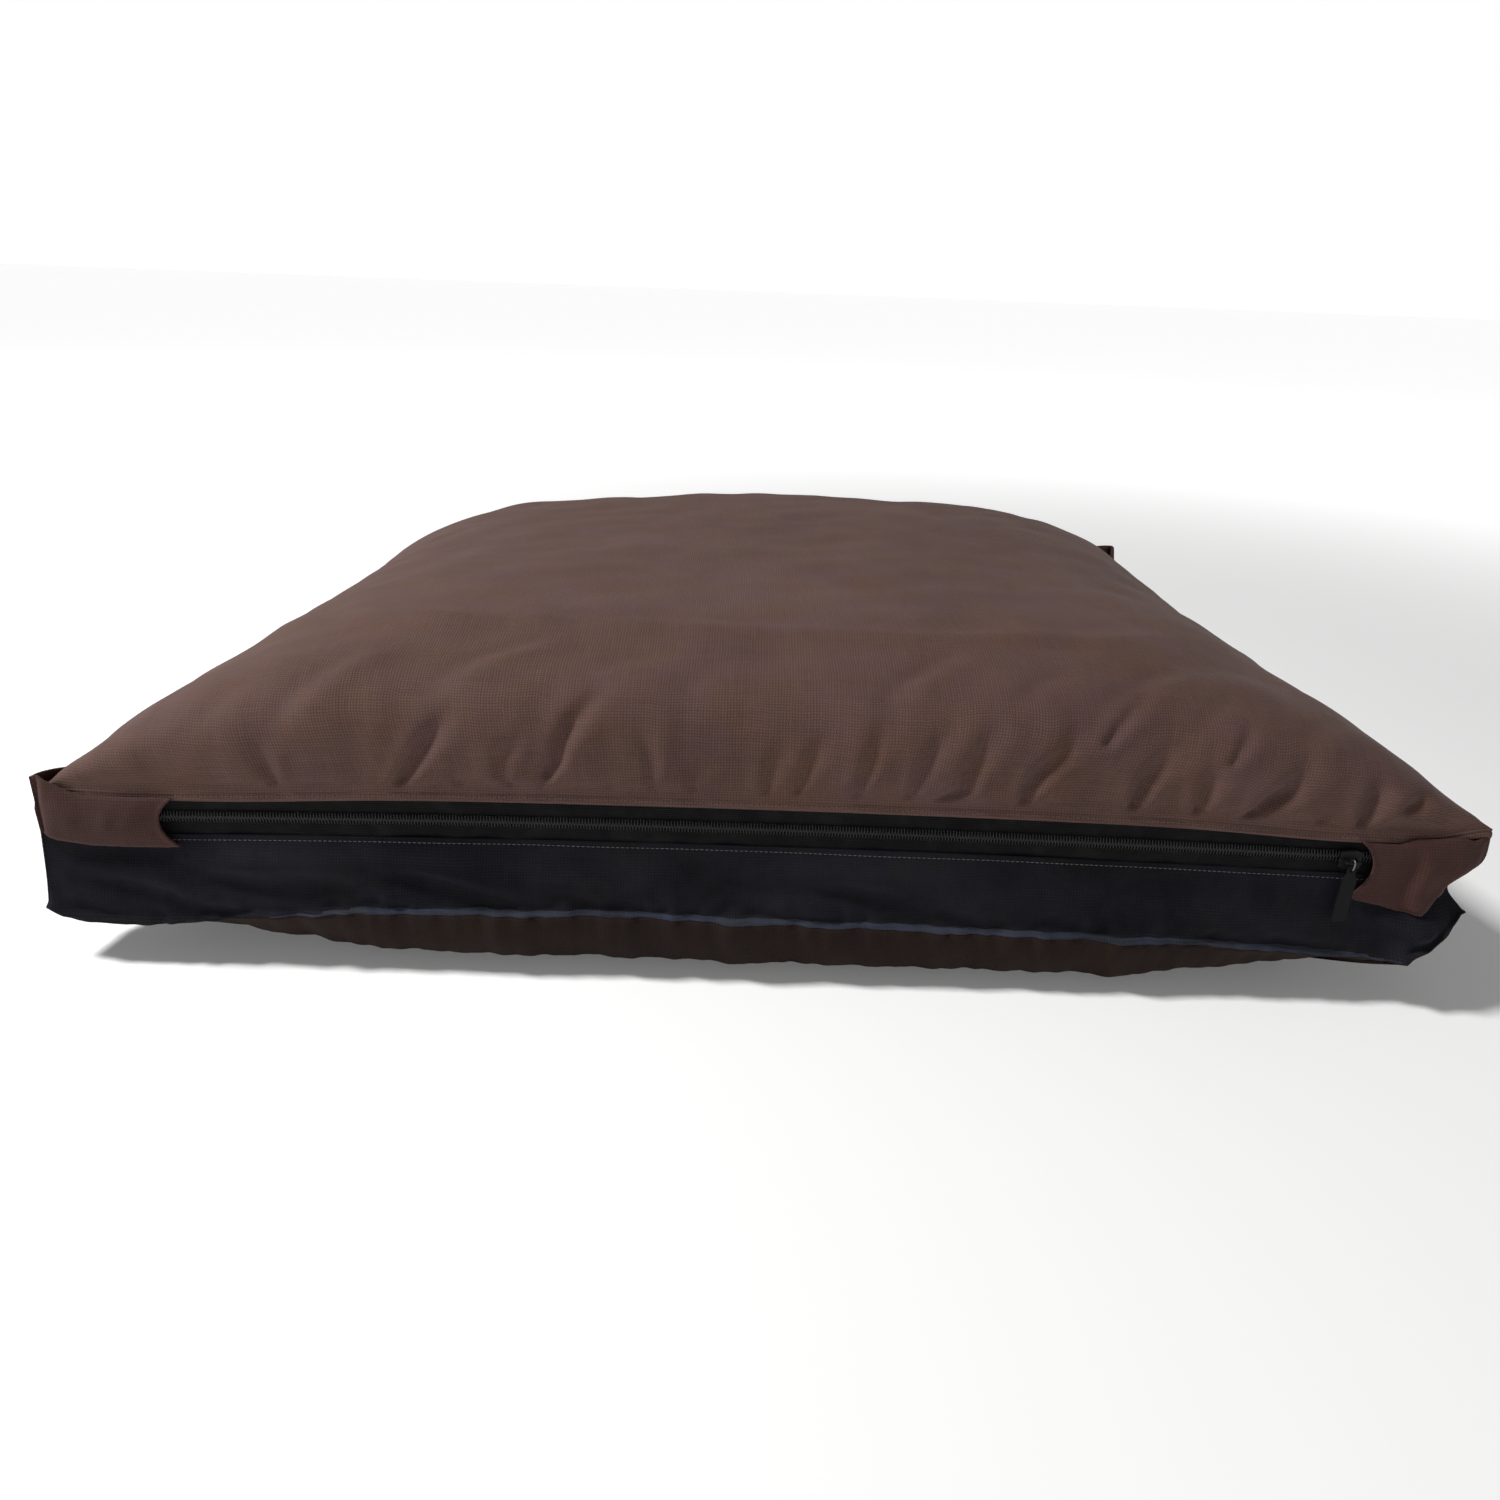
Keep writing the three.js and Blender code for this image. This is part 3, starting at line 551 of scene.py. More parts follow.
# soft broad unevenness of loose fibre, kept low, and long faint creases over the top
disp += 0.0007 * noise2(P[..., 0], P[..., 1], 3, 0.20) * edge_in
disp += 0.0005 * noise2(P[..., 0], P[..., 1], 8, 0.07) * edge_in
for pts, amp, w in (
    ([(-0.345, 0.200), (-0.267, 0.152), (-0.181, 0.129), (-0.090, 0.124), (0.0, 0.123), (0.091, 0.123), (0.181, 0.131), (0.266, 0.166), (0.340, 0.215)], 2.0, 0.0095),
    ([(-0.330, 0.140), (-0.267, 0.112), (-0.181, 0.095), (-0.090, 0.091), (0.0, 0.092), (0.091, 0.094), (0.181, 0.103), (0.266, 0.122), (0.330, 0.150)], -3.0, 0.025),
    ([(0.190, 0.520), (0.250, 0.585), (0.310, 0.650)], -2.6, 0.016),
    ([(-0.262, 0.026), (-0.242, 0.055), (-0.214, 0.088)], -1.5, 0.0075),
    ([(-0.250, 0.030), (-0.226, 0.058), (-0.196, 0.090)], 1.0, 0.0080),
    ([(-0.180, 0.050), (-0.155, 0.082), (-0.122, 0.108)], -1.7, 0.0075),
    ([(-0.166, 0.050), (-0.140, 0.080), (-0.106, 0.104)], 1.2, 0.0085),
    ([(-0.306, 0.018), (-0.288, 0.044), (-0.262, 0.072)], -1.1, 0.0070),
    ([(-0.105, 0.060), (-0.080, 0.084), (-0.045, 0.100)], -1.2, 0.0080),
    ([(-0.050, 0.040), (-0.042, 0.066), (-0.020, 0.092)], -0.9, 0.0090),
    ([(0.052, 0.050), (0.070, 0.078), (0.098, 0.106)], -1.8, 0.0070),
    ([(0.066, 0.052), (0.086, 0.078), (0.114, 0.104)], 1.1, 0.0080),
    ([(0.118, 0.052), (0.136, 0.074), (0.156, 0.092)], -1.4, 0.0065),
    ([(0.160, 0.048), (0.186, 0.076), (0.218, 0.102)], -1.9, 0.0075),
    ([(0.176, 0.048), (0.202, 0.074), (0.232, 0.098)], 1.2, 0.0085),
    ([(0.206, 0.040), (0.226, 0.062), (0.248, 0.084)], -1.3, 0.0060),
    ([(0.262, 0.040), (0.282, 0.058), (0.302, 0.072)], -1.5, 0.0065),
    ([(0.274, 0.036), (0.296, 0.052), (0.316, 0.062)], 0.9, 0.0070),
    ([(-0.22, 0.110), (-0.12, 0.118), (0.0, 0.128), (0.10, 0.136), (0.17, 0.150)], -0.5, 0.012),
    ([(-0.24, 0.128), (-0.13, 0.140), (-0.02, 0.150), (0.09, 0.160)], 0.9, 0.016),
    ([(0.12, 0.110), (0.20, 0.100), (0.27, 0.094)], 0.8, 0.014),
    ([(-0.30, 0.040), (-0.26, 0.075), (-0.20, 0.105)], 0.7, 0.016),
    ([(0.16, 0.080), (0.21, 0.098), (0.26, 0.125)], -0.7, 0.012),
    ([(0.02, 0.085), (0.08, 0.098), (0.15, 0.092)], 0.7, 0.013),
    ([(0.05, 0.205), (0.16, 0.215), (0.24, 0.245)], 0.6, 0.012),
    ([(-0.20, 0.240), (-0.10, 0.222), (0.0, 0.230)], 0.5, 0.014),
    ([(-0.12, 0.330), (0.02, 0.318), (0.13, 0.335)], 0.5, 0.015),
    ([(-0.16, 0.560), (-0.06, 0.610), (0.0, 0.640)], 0.6, 0.015),
):
    sd, fr, ln = to_polyline(P[..., 0], T_LEN, pts)
    disp += 0.001 * amp * np.exp(-((sd / w) ** 2)) * np.sin(math.pi * np.clip(fr, 0, 1)) ** 0.7
P = P + nrm * disp[..., None]


def cloth_relax(P, step_x, step_y, pressure, shrink, cap):
    """Blender cloth over a thinned copy of the panel, pinned at its seams: returns how far each point moves."""
    ny, nx, _ = P.shape
    jx = np.unique(np.append(np.arange(0, nx, step_x), nx - 1))
    jy = np.unique(np.append(np.arange(0, ny, step_y), ny - 1))
    C = P[np.ix_(jy, jx)]
    ob = grid_object("cloth_tmp", C)
    ids = np.arange(C.shape[0] * C.shape[1]).reshape(C.shape[:2])
    pin = ob.vertex_groups.new(name="pin")
    for i in np.concatenate([ids[0], ids[-1], ids[:, 0], ids[:, -1]]):
        pin.add([int(i)], 1.0, "REPLACE")
    m = ob.modifiers.new("cloth", "CLOTH")
    st = m.settings
    st.quality = 6
    st.mass = 0.25
    st.tension_stiffness = 18
    st.compression_stiffness = 18
    st.shear_stiffness = 6
    st.bending_stiffness = 0.35
    st.tension_damping = st.compression_damping = 12
    st.shear_damping = 8
    st.air_damping = 3
    st.vertex_group_mass = "pin"
    st.use_pressure = True
    st.uniform_pressure_force = pressure
    st.shrink_min = shrink
    st.effector_weights.gravity = 0
    m.collision_settings.use_collision = False
    m.collision_settings.use_self_collision = False
    m.point_cache.frame_start, m.point_cache.frame_end = 1, 20
    sc = bpy.context.scene
    for f in range(1, 21):
        sc.frame_set(f)
    me = ob.evaluated_get(bpy.context.evaluated_depsgraph_get()).to_mesh()
    co = np.zeros(len(me.vertices) * 3)
    me.vertices.foreach_get("co", co)
    D = co.reshape(C.shape) - C
    bpy.data.objects.remove(ob, do_unlink=True)
    sc.frame_set(1)
    mag = np.linalg.norm(D, axis=-1, keepdims=True)
    D = D * (np.minimum(mag, cap) / np.maximum(mag, 1e-9))
    # back to every row and column
    full = np.zeros((len(jy), nx, 3))
    for k in range(3):
        for r in range(len(jy)):
            full[r, :, k] = np.interp(np.arange(nx), jx, D[r, :, k])
    out = np.zeros(P.shape)
    for k in range(3):
        for c in range(nx):
            out[:, c, k] = np.interp(np.arange(ny), jy, full[:, c, k])
    return out


def low_pass(D, n):
    """Repeated three-point averages along both directions."""
    for _ in range(n):
        D = np.concatenate([D[:1], (D[:-2] + 2 * D[1:-1] + D[2:]) / 4, D[-1:]])
        D = np.concatenate([D[:, :1], (D[:, :-2] + 2 * D[:, 1:-1] + D[:, 2:]) / 4, D[:, -1:]], 1)
    return D


def ring_of(P):
    """Boundary points anticlockwise from the front-left corner."""
    return np.concatenate([P[0, :-1], P[:-1, -1], P[-1, :0:-1], P[:0:-1, 0]])


def add_uv(ob, uv):
    lay = ob.data.uv_layers.new(name="fabric")
    vi = np.zeros(len(ob.data.loops), int)
    ob.data.loops.foreach_get("vertex_index", vi)
    lay.data.foreach_set("uv", np.ascontiguousarray(np.asarray(uv, float)[vi], dtype=np.float32).ravel())


def top_with_hem(P, name):
    ny, nx, _ = P.shape
    verts = [P.reshape(-1, 3)]
    s_, t_ = lengths(P)
    uvs = [np.stack([s_, t_], -1).reshape(-1, 2)]
    faces = grid_faces(ny, nx)
    idx = np.arange(ny * nx).reshape(ny, nx)
    loop = np.concatenate([idx[0, :-1], idx[:-1, -1], idx[-1, :0:-1], idx[:0:-1, 0]])
    B = P.reshape(-1, 3)[loop]
    n = len(loop)
    prev = loop
    count = ny * nx
    # outward direction in plan
    t = np.roll(B, -1, 0) - np.roll(B, 1, 0)
    t[:, 2] = 0
    t /= np.linalg.norm(t, axis=1, keepdims=True)
    out = np.stack([t[:, 1], -t[:, 0], np.zeros(n)], -1)
    side = np.concatenate([np.full(nx - 1, 0), np.full(ny - 1, 1), np.full(nx - 1, 2), np.full(ny - 1, 3)])
    dirs = np.array([[0, -1], [1, 0], [0, 1], [-1, 0]])[side]
    # the stitched groove, then the soft folded edge
    for dz, do in ((-0.0006, 0.0006), (-0.0012, 0.0001), (-0.0018, 0.0007), (-0.0029, 0.0011), (-0.0039, 0.0009), (-0.0044, 0.0001)):
        R = B + out * do
        R[:, 2] = B[:, 2] + dz
        verts.append(R)
        uvs.append(uvs[0][loop] + dirs * -dz)
        cur = np.arange(count, count + n)
        count += n
        for i in range(n):
            j = (i + 1) % n
            faces.append((prev[i], cur[i], cur[j], prev[j]))
        prev = cur
    ob = new_object(name, np.concatenate(verts), faces)
    add_uv(ob, np.concatenate(uvs))
    return ob, B, out


D = cloth_relax(P, 3, 3, 4.0, -0.035, 0.012)
D = D - low_pass(D, 420)                                # wrinkles stay, the fitted crown does too
D = low_pass(D, 3)
fade = smooth(np.minimum(np.minimum(du_l, du_r), np.minimum(T_LEN, dv_b)), 0.003, 0.03)
P = P + D * (fade * 0.9)[..., None]

top, TOP_B, TOP_OUT = top_with_hem(P, "cover_top")
settle(top)
solidify(top, FABRIC)
paint(top, M_TOP)
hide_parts("top_panel")
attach(top, "cushion")

# ------------------------------------------------------------------ border outline
# Parametric outline of the border: corner to corner, anticlockwise from the front left.
def outline(n_front=420, n_side=160, n_back=180):
    pts, side = [], []
    for k, (n, f) in enumerate((
        (n_front, lambda s: (-1 + 2 * s, -1.0 + 0 * s)),
        (n_side, lambda s: (1.0 + 0 * s, -1 + 2 * s)),
        (n_back, lambda s: (1 - 2 * s, 1.0 + 0 * s)),
        (n_side, lambda s: (-1.0 + 0 * s, 1 - 2 * s)),
    )):
        s = np.arange(n) / n
        u, v = f(s)
        x, y = plan(u, v)
        pts.append(np.stack([x, y], -1))
        side.append(np.full(n, k))
    return np.concatenate(pts), np.concatenate(side)


OUT, SIDE = outline()
NB = len(OUT)
tang = np.roll(OUT, -1, 0) - np.roll(OUT, 1, 0)
tang /= np.linalg.norm(tang, axis=1, keepdims=True)
OUTN = np.stack([tang[:, 1], -tang[:, 0]], -1)
ARC = np.concatenate([[0], np.cumsum(np.linalg.norm(np.diff(OUT, axis=0), axis=1))])
CORNERS = np.array([[-HX, -HY], [HX, -HY], [HX, HY], [-HX, HY]])
near_corner = np.min(np.linalg.norm(OUT[:, None] - CORNERS[None], axis=2), axis=1)
front_w = np.where(SIDE == 0, 1.0, 0.0)

# height of the seam between the border and the bottom panel, and of the gusset's upper edge
zb = np.full(NB, 0.0365) + 0.0010 * noise1(ARC, 11, 0.35)
xs = OUT[:, 0]
ys = OUT[:, 1]
ARCH = arch(xs) * front_w
# the front seam: low and slack at the left corner, drawn up to a dog ear at the right one
zb_front = np.interp(xs, np.array([-375, -368, -331, -290, -215, -61, 60, 126, 230, 288, 310, 330, 342, 355, 365, 375]) / 1000,
                     np.array([30, 27.0, 25.5, 29.5, 36, 39, 36.5, 35, 33.5, 31.5, 29.5, 29.5, 31, 40, 49, 56]) / 1000)
zb_front += 0.0007 * noise1(xs, 13, 0.09)
near_l = np.exp(-((ys + HY) / 0.07) ** 2)
zb = np.where(SIDE == 0, zb_front, zb)
zb = np.where(SIDE == 1, zb * (1 - near_l) + 0.056 * near_l, zb)
zb = np.where(SIDE == 3, zb * (1 - near_l) + 0.030 * near_l, zb)
ZT_G = np.where(SIDE == 0, Z_GUSSET, Z_BAND - 0.0002) + ARCH_Z * ARCH
out_b = 0.0060 + 0.0013 * noise1(ARC, 12, 0.06) + 0.0006 * noise1(ARC, 14, 0.017)   # how far the bottom seam stands out
flare = gauss(OUT[:, 0], -HX, 0.03) * gauss(OUT[:, 1], -HY, 0.03)


def pinch(Q):
    """The front right corner is drawn in between the garage and the dog ear."""
    w = np.exp(-((np.hypot(Q[..., 0] - HX, Q[..., 1] + HY) / 0.034) ** 2)) * np.exp(-(((Q[..., 2] - 0.0695) / 0.0115) ** 2))
    R = Q.copy()
    R[..., 0] -= 0.0120 * w
    R[..., 1] += 0.0050 * w
    return R


NR = 26
tt = np.concatenate([[0, 0.012, 0.026, 0.042, 0.060, 0.082, 0.11, 0.15, 0.20, 0.25], np.linspace(0.3, 1.0, NR - 10)])
G = np.zeros((len(tt), NB, 3))
for r, t in enumerate(tt):
    z = zb + (ZT_G - zb) * t
    body = 0.0032 * math.sin(math.pi * t) ** 1.3
    lip = out_b * (0.35 * math.exp(-((t / 0.30) ** 2)) + 0.65 * math.exp(-((t / 0.055) ** 2)))
    wr = 0.0017 * noise2(ARC + 1.1 * z, z * 2.6, 21, 0.060) * math.sin(math.pi * min(t * 1.1, 1)) + 0.0006 * noise2(ARC, z, 22, 0.016) * math.exp(-((t / 0.35) ** 2))
    corner = smooth(near_corner, 0.0, 0.025)
    o = (body + wr) * corner + lip * (0.35 + 0.65 * corner)
    G[r, :, 0] = OUT[:, 0] + OUTN[:, 0] * o
    G[r, :, 1] = OUT[:, 1] + OUTN[:, 1] * o + ARCH_Y * ARCH * t
    G[r, :, 2] = z
    G[r, :, 0] -= flare * (0.0052 + 0.0040 * (1 - t))
    # the fold that runs up the dog ear at the right
    xf = 0.3475 - (0.057 - z) * 0.27
    ear = np.where(xs < xf, smooth(xs, 0.318, 0.347) * np.clip((xs - 0.312) / (xf - 0.312), 0, 1), np.clip((HX - xs) / (HX - xf), 0, 1))
    G[r, :, 1] -= np.where(SIDE == 0, 0.0085 * ear * (1 - smooth(z, 0.046, 0.064)), 0)
    # a soft bow of the slack panel under the zip, and sagging creases
    G[r, :, 1] -= np.where(SIDE == 0, 0.0012 * noise2(xs * 0.9 + z * 1.3, z * 1.5, 25, 0.085) * math.sin(math.pi * t) * corner, 0)
G = pinch(G)

names = {0: "gusset_front", 1: "gusset_right", 2: "gusset_back", 3: "gusset_left"}
nodes = {0: "front_gusset", 1: "right_gusset", 2: "back_gusset", 3: "left_gusset"}
starts = [int(np.argmax(SIDE == k)) for k in range(4)] + [NB]
for k in range(4):
    cols = np.arange(starts[k], starts[k + 1] + 1) % NB
    if k == 0:
        # folded upper edge of the front gusset: rolls over and back down behind
        R = G[:, cols].copy()
        top_row = R[-1]
        extra = []
        for dz, dy in ((0.0004, 0.0001), (0.0006, 0.0006), (0.0003, 0.0011), (-0.0020, 0.0013)):
            E = top_row.copy()
            E[:, 2] += dz
            E[:, 1] += dy
            extra.append(E)
        R = np.concatenate([R, np.stack(extra)])
    else:
        R = G[:, cols]
    ob = grid_object(names[k], R)
    settle(ob)
    solidify(ob, 0.0007 if k == 0 else FABRIC)
    paint(ob, M_GUSSET_F if k in (0, 2) else M_GUSSET_S)
    # the lower rows of the front gusset get the seam lip's painted highlight
    ob.data.materials.append(M_LIP_HIGHLIGHT)
    nc = R.shape[1] - 1
    lip_highlight_on = np.zeros(len(ob.data.polygons), int)
    if k == 0:                                             # the fold flattens out towards both corners
        colx = R[0, :-1, 0]
        fold_rows = np.floor(np.interp(colx, [-0.28, -0.22, 0.315, 0.345], [0, 4.2, 4.2, 0])).astype(int)
        for rr in range(5):
            lip_highlight_on[rr * nc:(rr + 1) * nc] = (rr < fold_rows).astype(int)
    ob.data.polygons.foreach_set("material_index", lip_highlight_on)
    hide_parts(nodes[k])
    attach(ob, "cushion")

# ------------------------------------------------------------------ bottom panel
ring0 = G[0].copy()
rings = [ring0 + np.array([0, 0, -0.0004])]
inward = -np.concatenate([OUTN, np.zeros((NB, 1))], 1)
cen = -np.concatenate([OUT, np.zeros((NB, 1))], 1)
cen /= np.linalg.norm(cen, axis=1, keepdims=True)
wcor = np.exp(-((near_corner / 0.05) ** 2))[:, None]
inward = inward * (1 - wcor) + cen * wcor * 1.25
tuck = 1 - smooth(near_corner, 0.045, 0.210)             # towards a corner the panel tucks straight under
DEPTH = 0.030 + 0.030 * np.exp(-((near_corner / 0.085) ** 2))
for t in np.linspace(0.0, 1.0, 17)[1:]:
    a = t * math.pi / 2
    d_mid = DEPTH * (1 - math.cos(a)) ** 0.95 - 0.0022 * math.sin(math.pi * t) ** 1.2
    z_mid = 1 - math.sin(a)
    d_cor = DEPTH * 1.15 * t
    z_cor = (1 - t) ** 1.15
    d = d_mid * (1 - tuck) + d_cor * tuck
    ws = math.sin(math.pi * min(1.0, t * 1.15))
    d = d + 0.0007 * noise2(ARC, t * 0.05 * np.ones(NB), 51, 0.05) * ws + 0.0003 * noise1(ARC, 52, 0.030) * math.exp(-((t - 0.12) / 0.12) ** 2)
    z = ring0[:, 2] * (z_mid * (1 - tuck) + z_cor * tuck)
    Rg = ring0 + inward * d[:, None]
    Rg[:, 2] = np.maximum(z, 0.0)
    rings.append(Rg)
flat = rings[-1].copy()
flat[:, 2] = 0.0
rings[-1] = flat
for s in (0.97, 0.9):
    q = flat * np.array([s, s, 1])
    rings.append(q)
Rg = np.stack(rings)
Rg[..., 2] += 0.0001
bot = new_object("cover_bottom", Rg.reshape(-1, 3), grid_faces(len(rings), NB, flip=True, wrap=True) + [tuple(range((len(rings) - 1) * NB, len(rings) * NB))[::-1]])
walk = np.concatenate([np.zeros((1, NB)), np.cumsum(np.linalg.norm(np.diff(Rg, axis=0), axis=-1), axis=0)])
add_uv(bot, np.stack([np.broadcast_to(ARC, walk.shape), walk], -1).reshape(-1, 2))
bm = bmesh.new()
bm.from_mesh(bot.data)
inside = Vector((0, 0, 0.030))
wrong = [f for f in bm.faces if f.normal.dot(f.calc_center_median() - inside) < 0]
bmesh.ops.reverse_faces(bm, faces=wrong)
bm.to_mesh(bot.data)
bm.free()
solidify(bot, FABRIC)
# the bottom panel's dark brown is painted shade for the shadowed underside
paint(bot, M_UNDER_SHADED)
bot.data.materials.append(M_UNDER_FLAT_SHADED)
flat_face = max(bot.data.polygons, key=lambda f: f.area)
flat_face.material_index = 1
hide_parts("bottom_panel")
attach(bot, "cushion")

# ------------------------------------------------------------------ upper bands and zip garages
def side_band(sign):
    """Brown band along one side, wrapping the front corner as the zip's garage."""
    k = 1 if sign > 0 else 3
    cols = np.arange(starts[k], starts[k + 1] + 1) % NB
    if sign < 0:
        cols = cols[::-1]
    side = OUT[cols]                                     # from the front corner to the back
    nrm_s = OUTN[cols] if sign > 0 else OUTN[cols]
    arc_s = np.concatenate([[0], np.cumsum(np.linalg.norm(np.diff(side, axis=0), axis=1))])
    rows = 15
    r = np.linspace(0, 1, rows)
    nf = 60                                              # columns across the garage's front
    L = HX - GARAGE_X
    pts = np.zeros((rows, nf + len(cols), 3))
    for j, t in enumerate(r):
        # mouth: the fold curves back from the zip in the middle
        mouth = (-0.0045 + 0.0085 * math.sin(math.pi * t) ** 0.8)
        for i in range(nf):
            s = i / nf                                   # 0 at the mouth, 1 at the corner
            reach = HX + (0.0042 + 0.0022 * (1 - t) - 0.0010 * t if sign < 0 else 0.0004)
            x = GARAGE_X + mouth * (1 - s) + (reach - GARAGE_X) * s
            if sign < 0:
                z_lo = float(np.interp(s, [0, 0.08, 0.35, 0.62, 0.85, 1.0], [0.0715, 0.0705, 0.0700, 0.0702, 0.0725, 0.0765]))
                z_hi = Z_HEM + 0.0010 + 0.0085 * float(smooth(s, 0.62, 0.98))
            else:
                z_lo = float(np.interp(s, [0, 0.06, 0.42, 0.58, 0.80, 1.0], [0.0655, 0.0630, 0.0580, 0.0572, 0.0672, 0.0700]))
                z_hi = Z_HEM + float(np.interp(s, [0, 0.08, 0.30, 0.42, 0.75, 0.86, 1.0], [0.0000, -0.0016, -0.0014, 0.0018, 0.0018, -0.0012, 0.0000]))
            z = z_lo + (z_hi - z_lo) * t
            puff = 0.0036 * math.sin(math.pi * t) ** 0.8 * math.sin(math.pi * min(1, s * 1.05)) ** 0.6
            curl = 0.0012 * math.exp(-(s / 0.03) ** 2)
            y = -HY - 0.0028 - puff - curl + 0.0008 * float(noise1(x + 0.35 * z, 31 + (sign > 0), 0.03)) * math.sin(math.pi * t)
            if sign > 0:
                y -= 0.0060 * float(smooth(s, 0.25, 0.60)) * float(1 - smooth(s, 0.80, 1.0)) * (1 - t) ** 1.5
            if s > 0.88:
                y += (0.0024 if sign > 0 else 0.0040) * float(smooth(s, 0.88, 1.0)) ** 1.5
            if sign > 0:                                 # lies flat where the pull tab swings across it
                y = max(y, -0.3247 - 0.0090 * float(smooth(x, 0.337, 0.352)))
            pts[j, i] = (sign * x, y, z)
        z_lo = Z_BAND - 0.0006 + (0.0016 if sign < 0 else -0.0045) * np.exp(-(arc_s / 0.03) ** 2)
        z_hi = Z_HEM - 0.0002 + (0.0098 if sign < 0 else 0.0002) * np.exp(-(arc_s / 0.030) ** 2)
        if sign > 0:
            tip = np.exp(-(((arc_s[-1] - arc_s) / 0.028) ** 2))
            z_hi = z_hi + 0.0165 * tip
        z = z_lo + (z_hi - z_lo) * t
        o = 0.0022 * math.sin(math.pi * t) * smooth(arc_s, 0, 0.02) + 0.0008 * noise2(arc_s, z, 33, 0.04) * smooth(arc_s, 0, 0.02) * math.sin(math.pi * t)
        if sign > 0:
            o = o + 0.0034 * tip * t
        o = o + (0.0036 if sign < 0 else 0.0) * np.exp(-(arc_s / 0.035) ** 2)
        pts[j, nf:, 0] = side[:, 0] + nrm_s[:, 0] * o + sign * 0.0004
        pts[j, nf:, 1] = side[:, 1] + nrm_s[:, 1] * o
        pts[j, nf:, 2] = z
    if sign > 0:
        pts = pinch(pts)
    ob = grid_object("band_right" if sign > 0 else "band_left", pts, flip=(sign < 0))
    settle(ob)
    solidify(ob, 0.0014)
    # the band's darker brown is partly a darker fabric, partly painted shade
    paint(ob, M_BAND_SHADE_F)
    ob.data.materials.append(M_BAND_SHADE_S)
    me = ob.data
    mi = [1 if abs(p.normal.x) > abs(p.normal.y) else 0 for p in me.polygons]
    me.polygons.foreach_set("material_index", mi)
    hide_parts("right_band" if sign > 0 else "left_band")
    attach(ob, "cushion")
    return ob


band_l = side_band(-1)
band_r = side_band(1)

cols = np.arange(starts[2], starts[3] + 1) % NB
R = np.zeros((12, len(cols), 3))
for j, t in enumerate(np.linspace(0, 1, 12)):
    tip = np.exp(-(((HX - OUT[cols, 0]) / 0.060) ** 2))
    z = Z_BAND - 0.0006 + (Z_HEM - 0.0002 + 0.0165 * tip - Z_BAND + 0.0006) * t
    o = (0.0022 * math.sin(math.pi * t) + 0.0008 * noise2(ARC[cols], z, 34, 0.04) * math.sin(math.pi * t)) * smooth(near_corner[cols], 0, 0.02) + 0.0034 * tip * t
    R[j, :, 0] = OUT[cols, 0] + OUTN[cols, 0] * o
    R[j, :, 1] = OUT[cols, 1] + OUTN[cols, 1] * o
    R[j, :, 2] = z
band_b = grid_object("band_back", R)
settle(band_b)
solidify(band_b, FABRIC)
# darker band brown: partly a darker fabric, partly painted shade on the ear's inner face
paint(band_b, M_BAND_SHADE_F)
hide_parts("back_band")
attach(band_b, "cushion")

# ------------------------------------------------------------------ zip
TAPE_Y = -0.3185
PITCH = 0.0016
HALF = 0.345


def zip_y(x):
    return ARCH_Y * arch(x)


def zip_z(x):
    return ARCH_Z * arch(x)


def tape(sign):
    xs_ = np.linspace(-HALF, HALF, 400)
    lo, hi = (Z_ZIP + 0.0003, Z_HEM + 0.002) if sign > 0 else (Z_ZIP - 0.0003, Z_GUSSET - 0.003)
    R = np.zeros((12, len(xs_), 3))
    for j, t in enumerate(np.linspace(0, 1, 12)):
        z = lo + (hi - lo) * t
        # a shallow channel beside the coil, then a soft roll towards the fold
        y = TAPE_Y - 0.0006 * math.sin(math.pi * t) + 0.0004 * noise2(xs_, z, 41 + sign, 0.03) * t
        R[j, :, 0] = xs_
        R[j, :, 1] = y + zip_y(xs_)
        R[j, :, 2] = z + zip_z(xs_)
    ob = grid_object("zip_tape_woven_upper" if sign > 0 else "zip_tape_woven_lower", R, flip=(sign < 0))
    solidify(ob, 0.0006)
    paint(ob, M_TAPE)
    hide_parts("zip_tape_upper" if sign > 0 else "zip_tape_lower")
    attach(ob, "cushion")
    return ob


tape(1)
tape(-1)


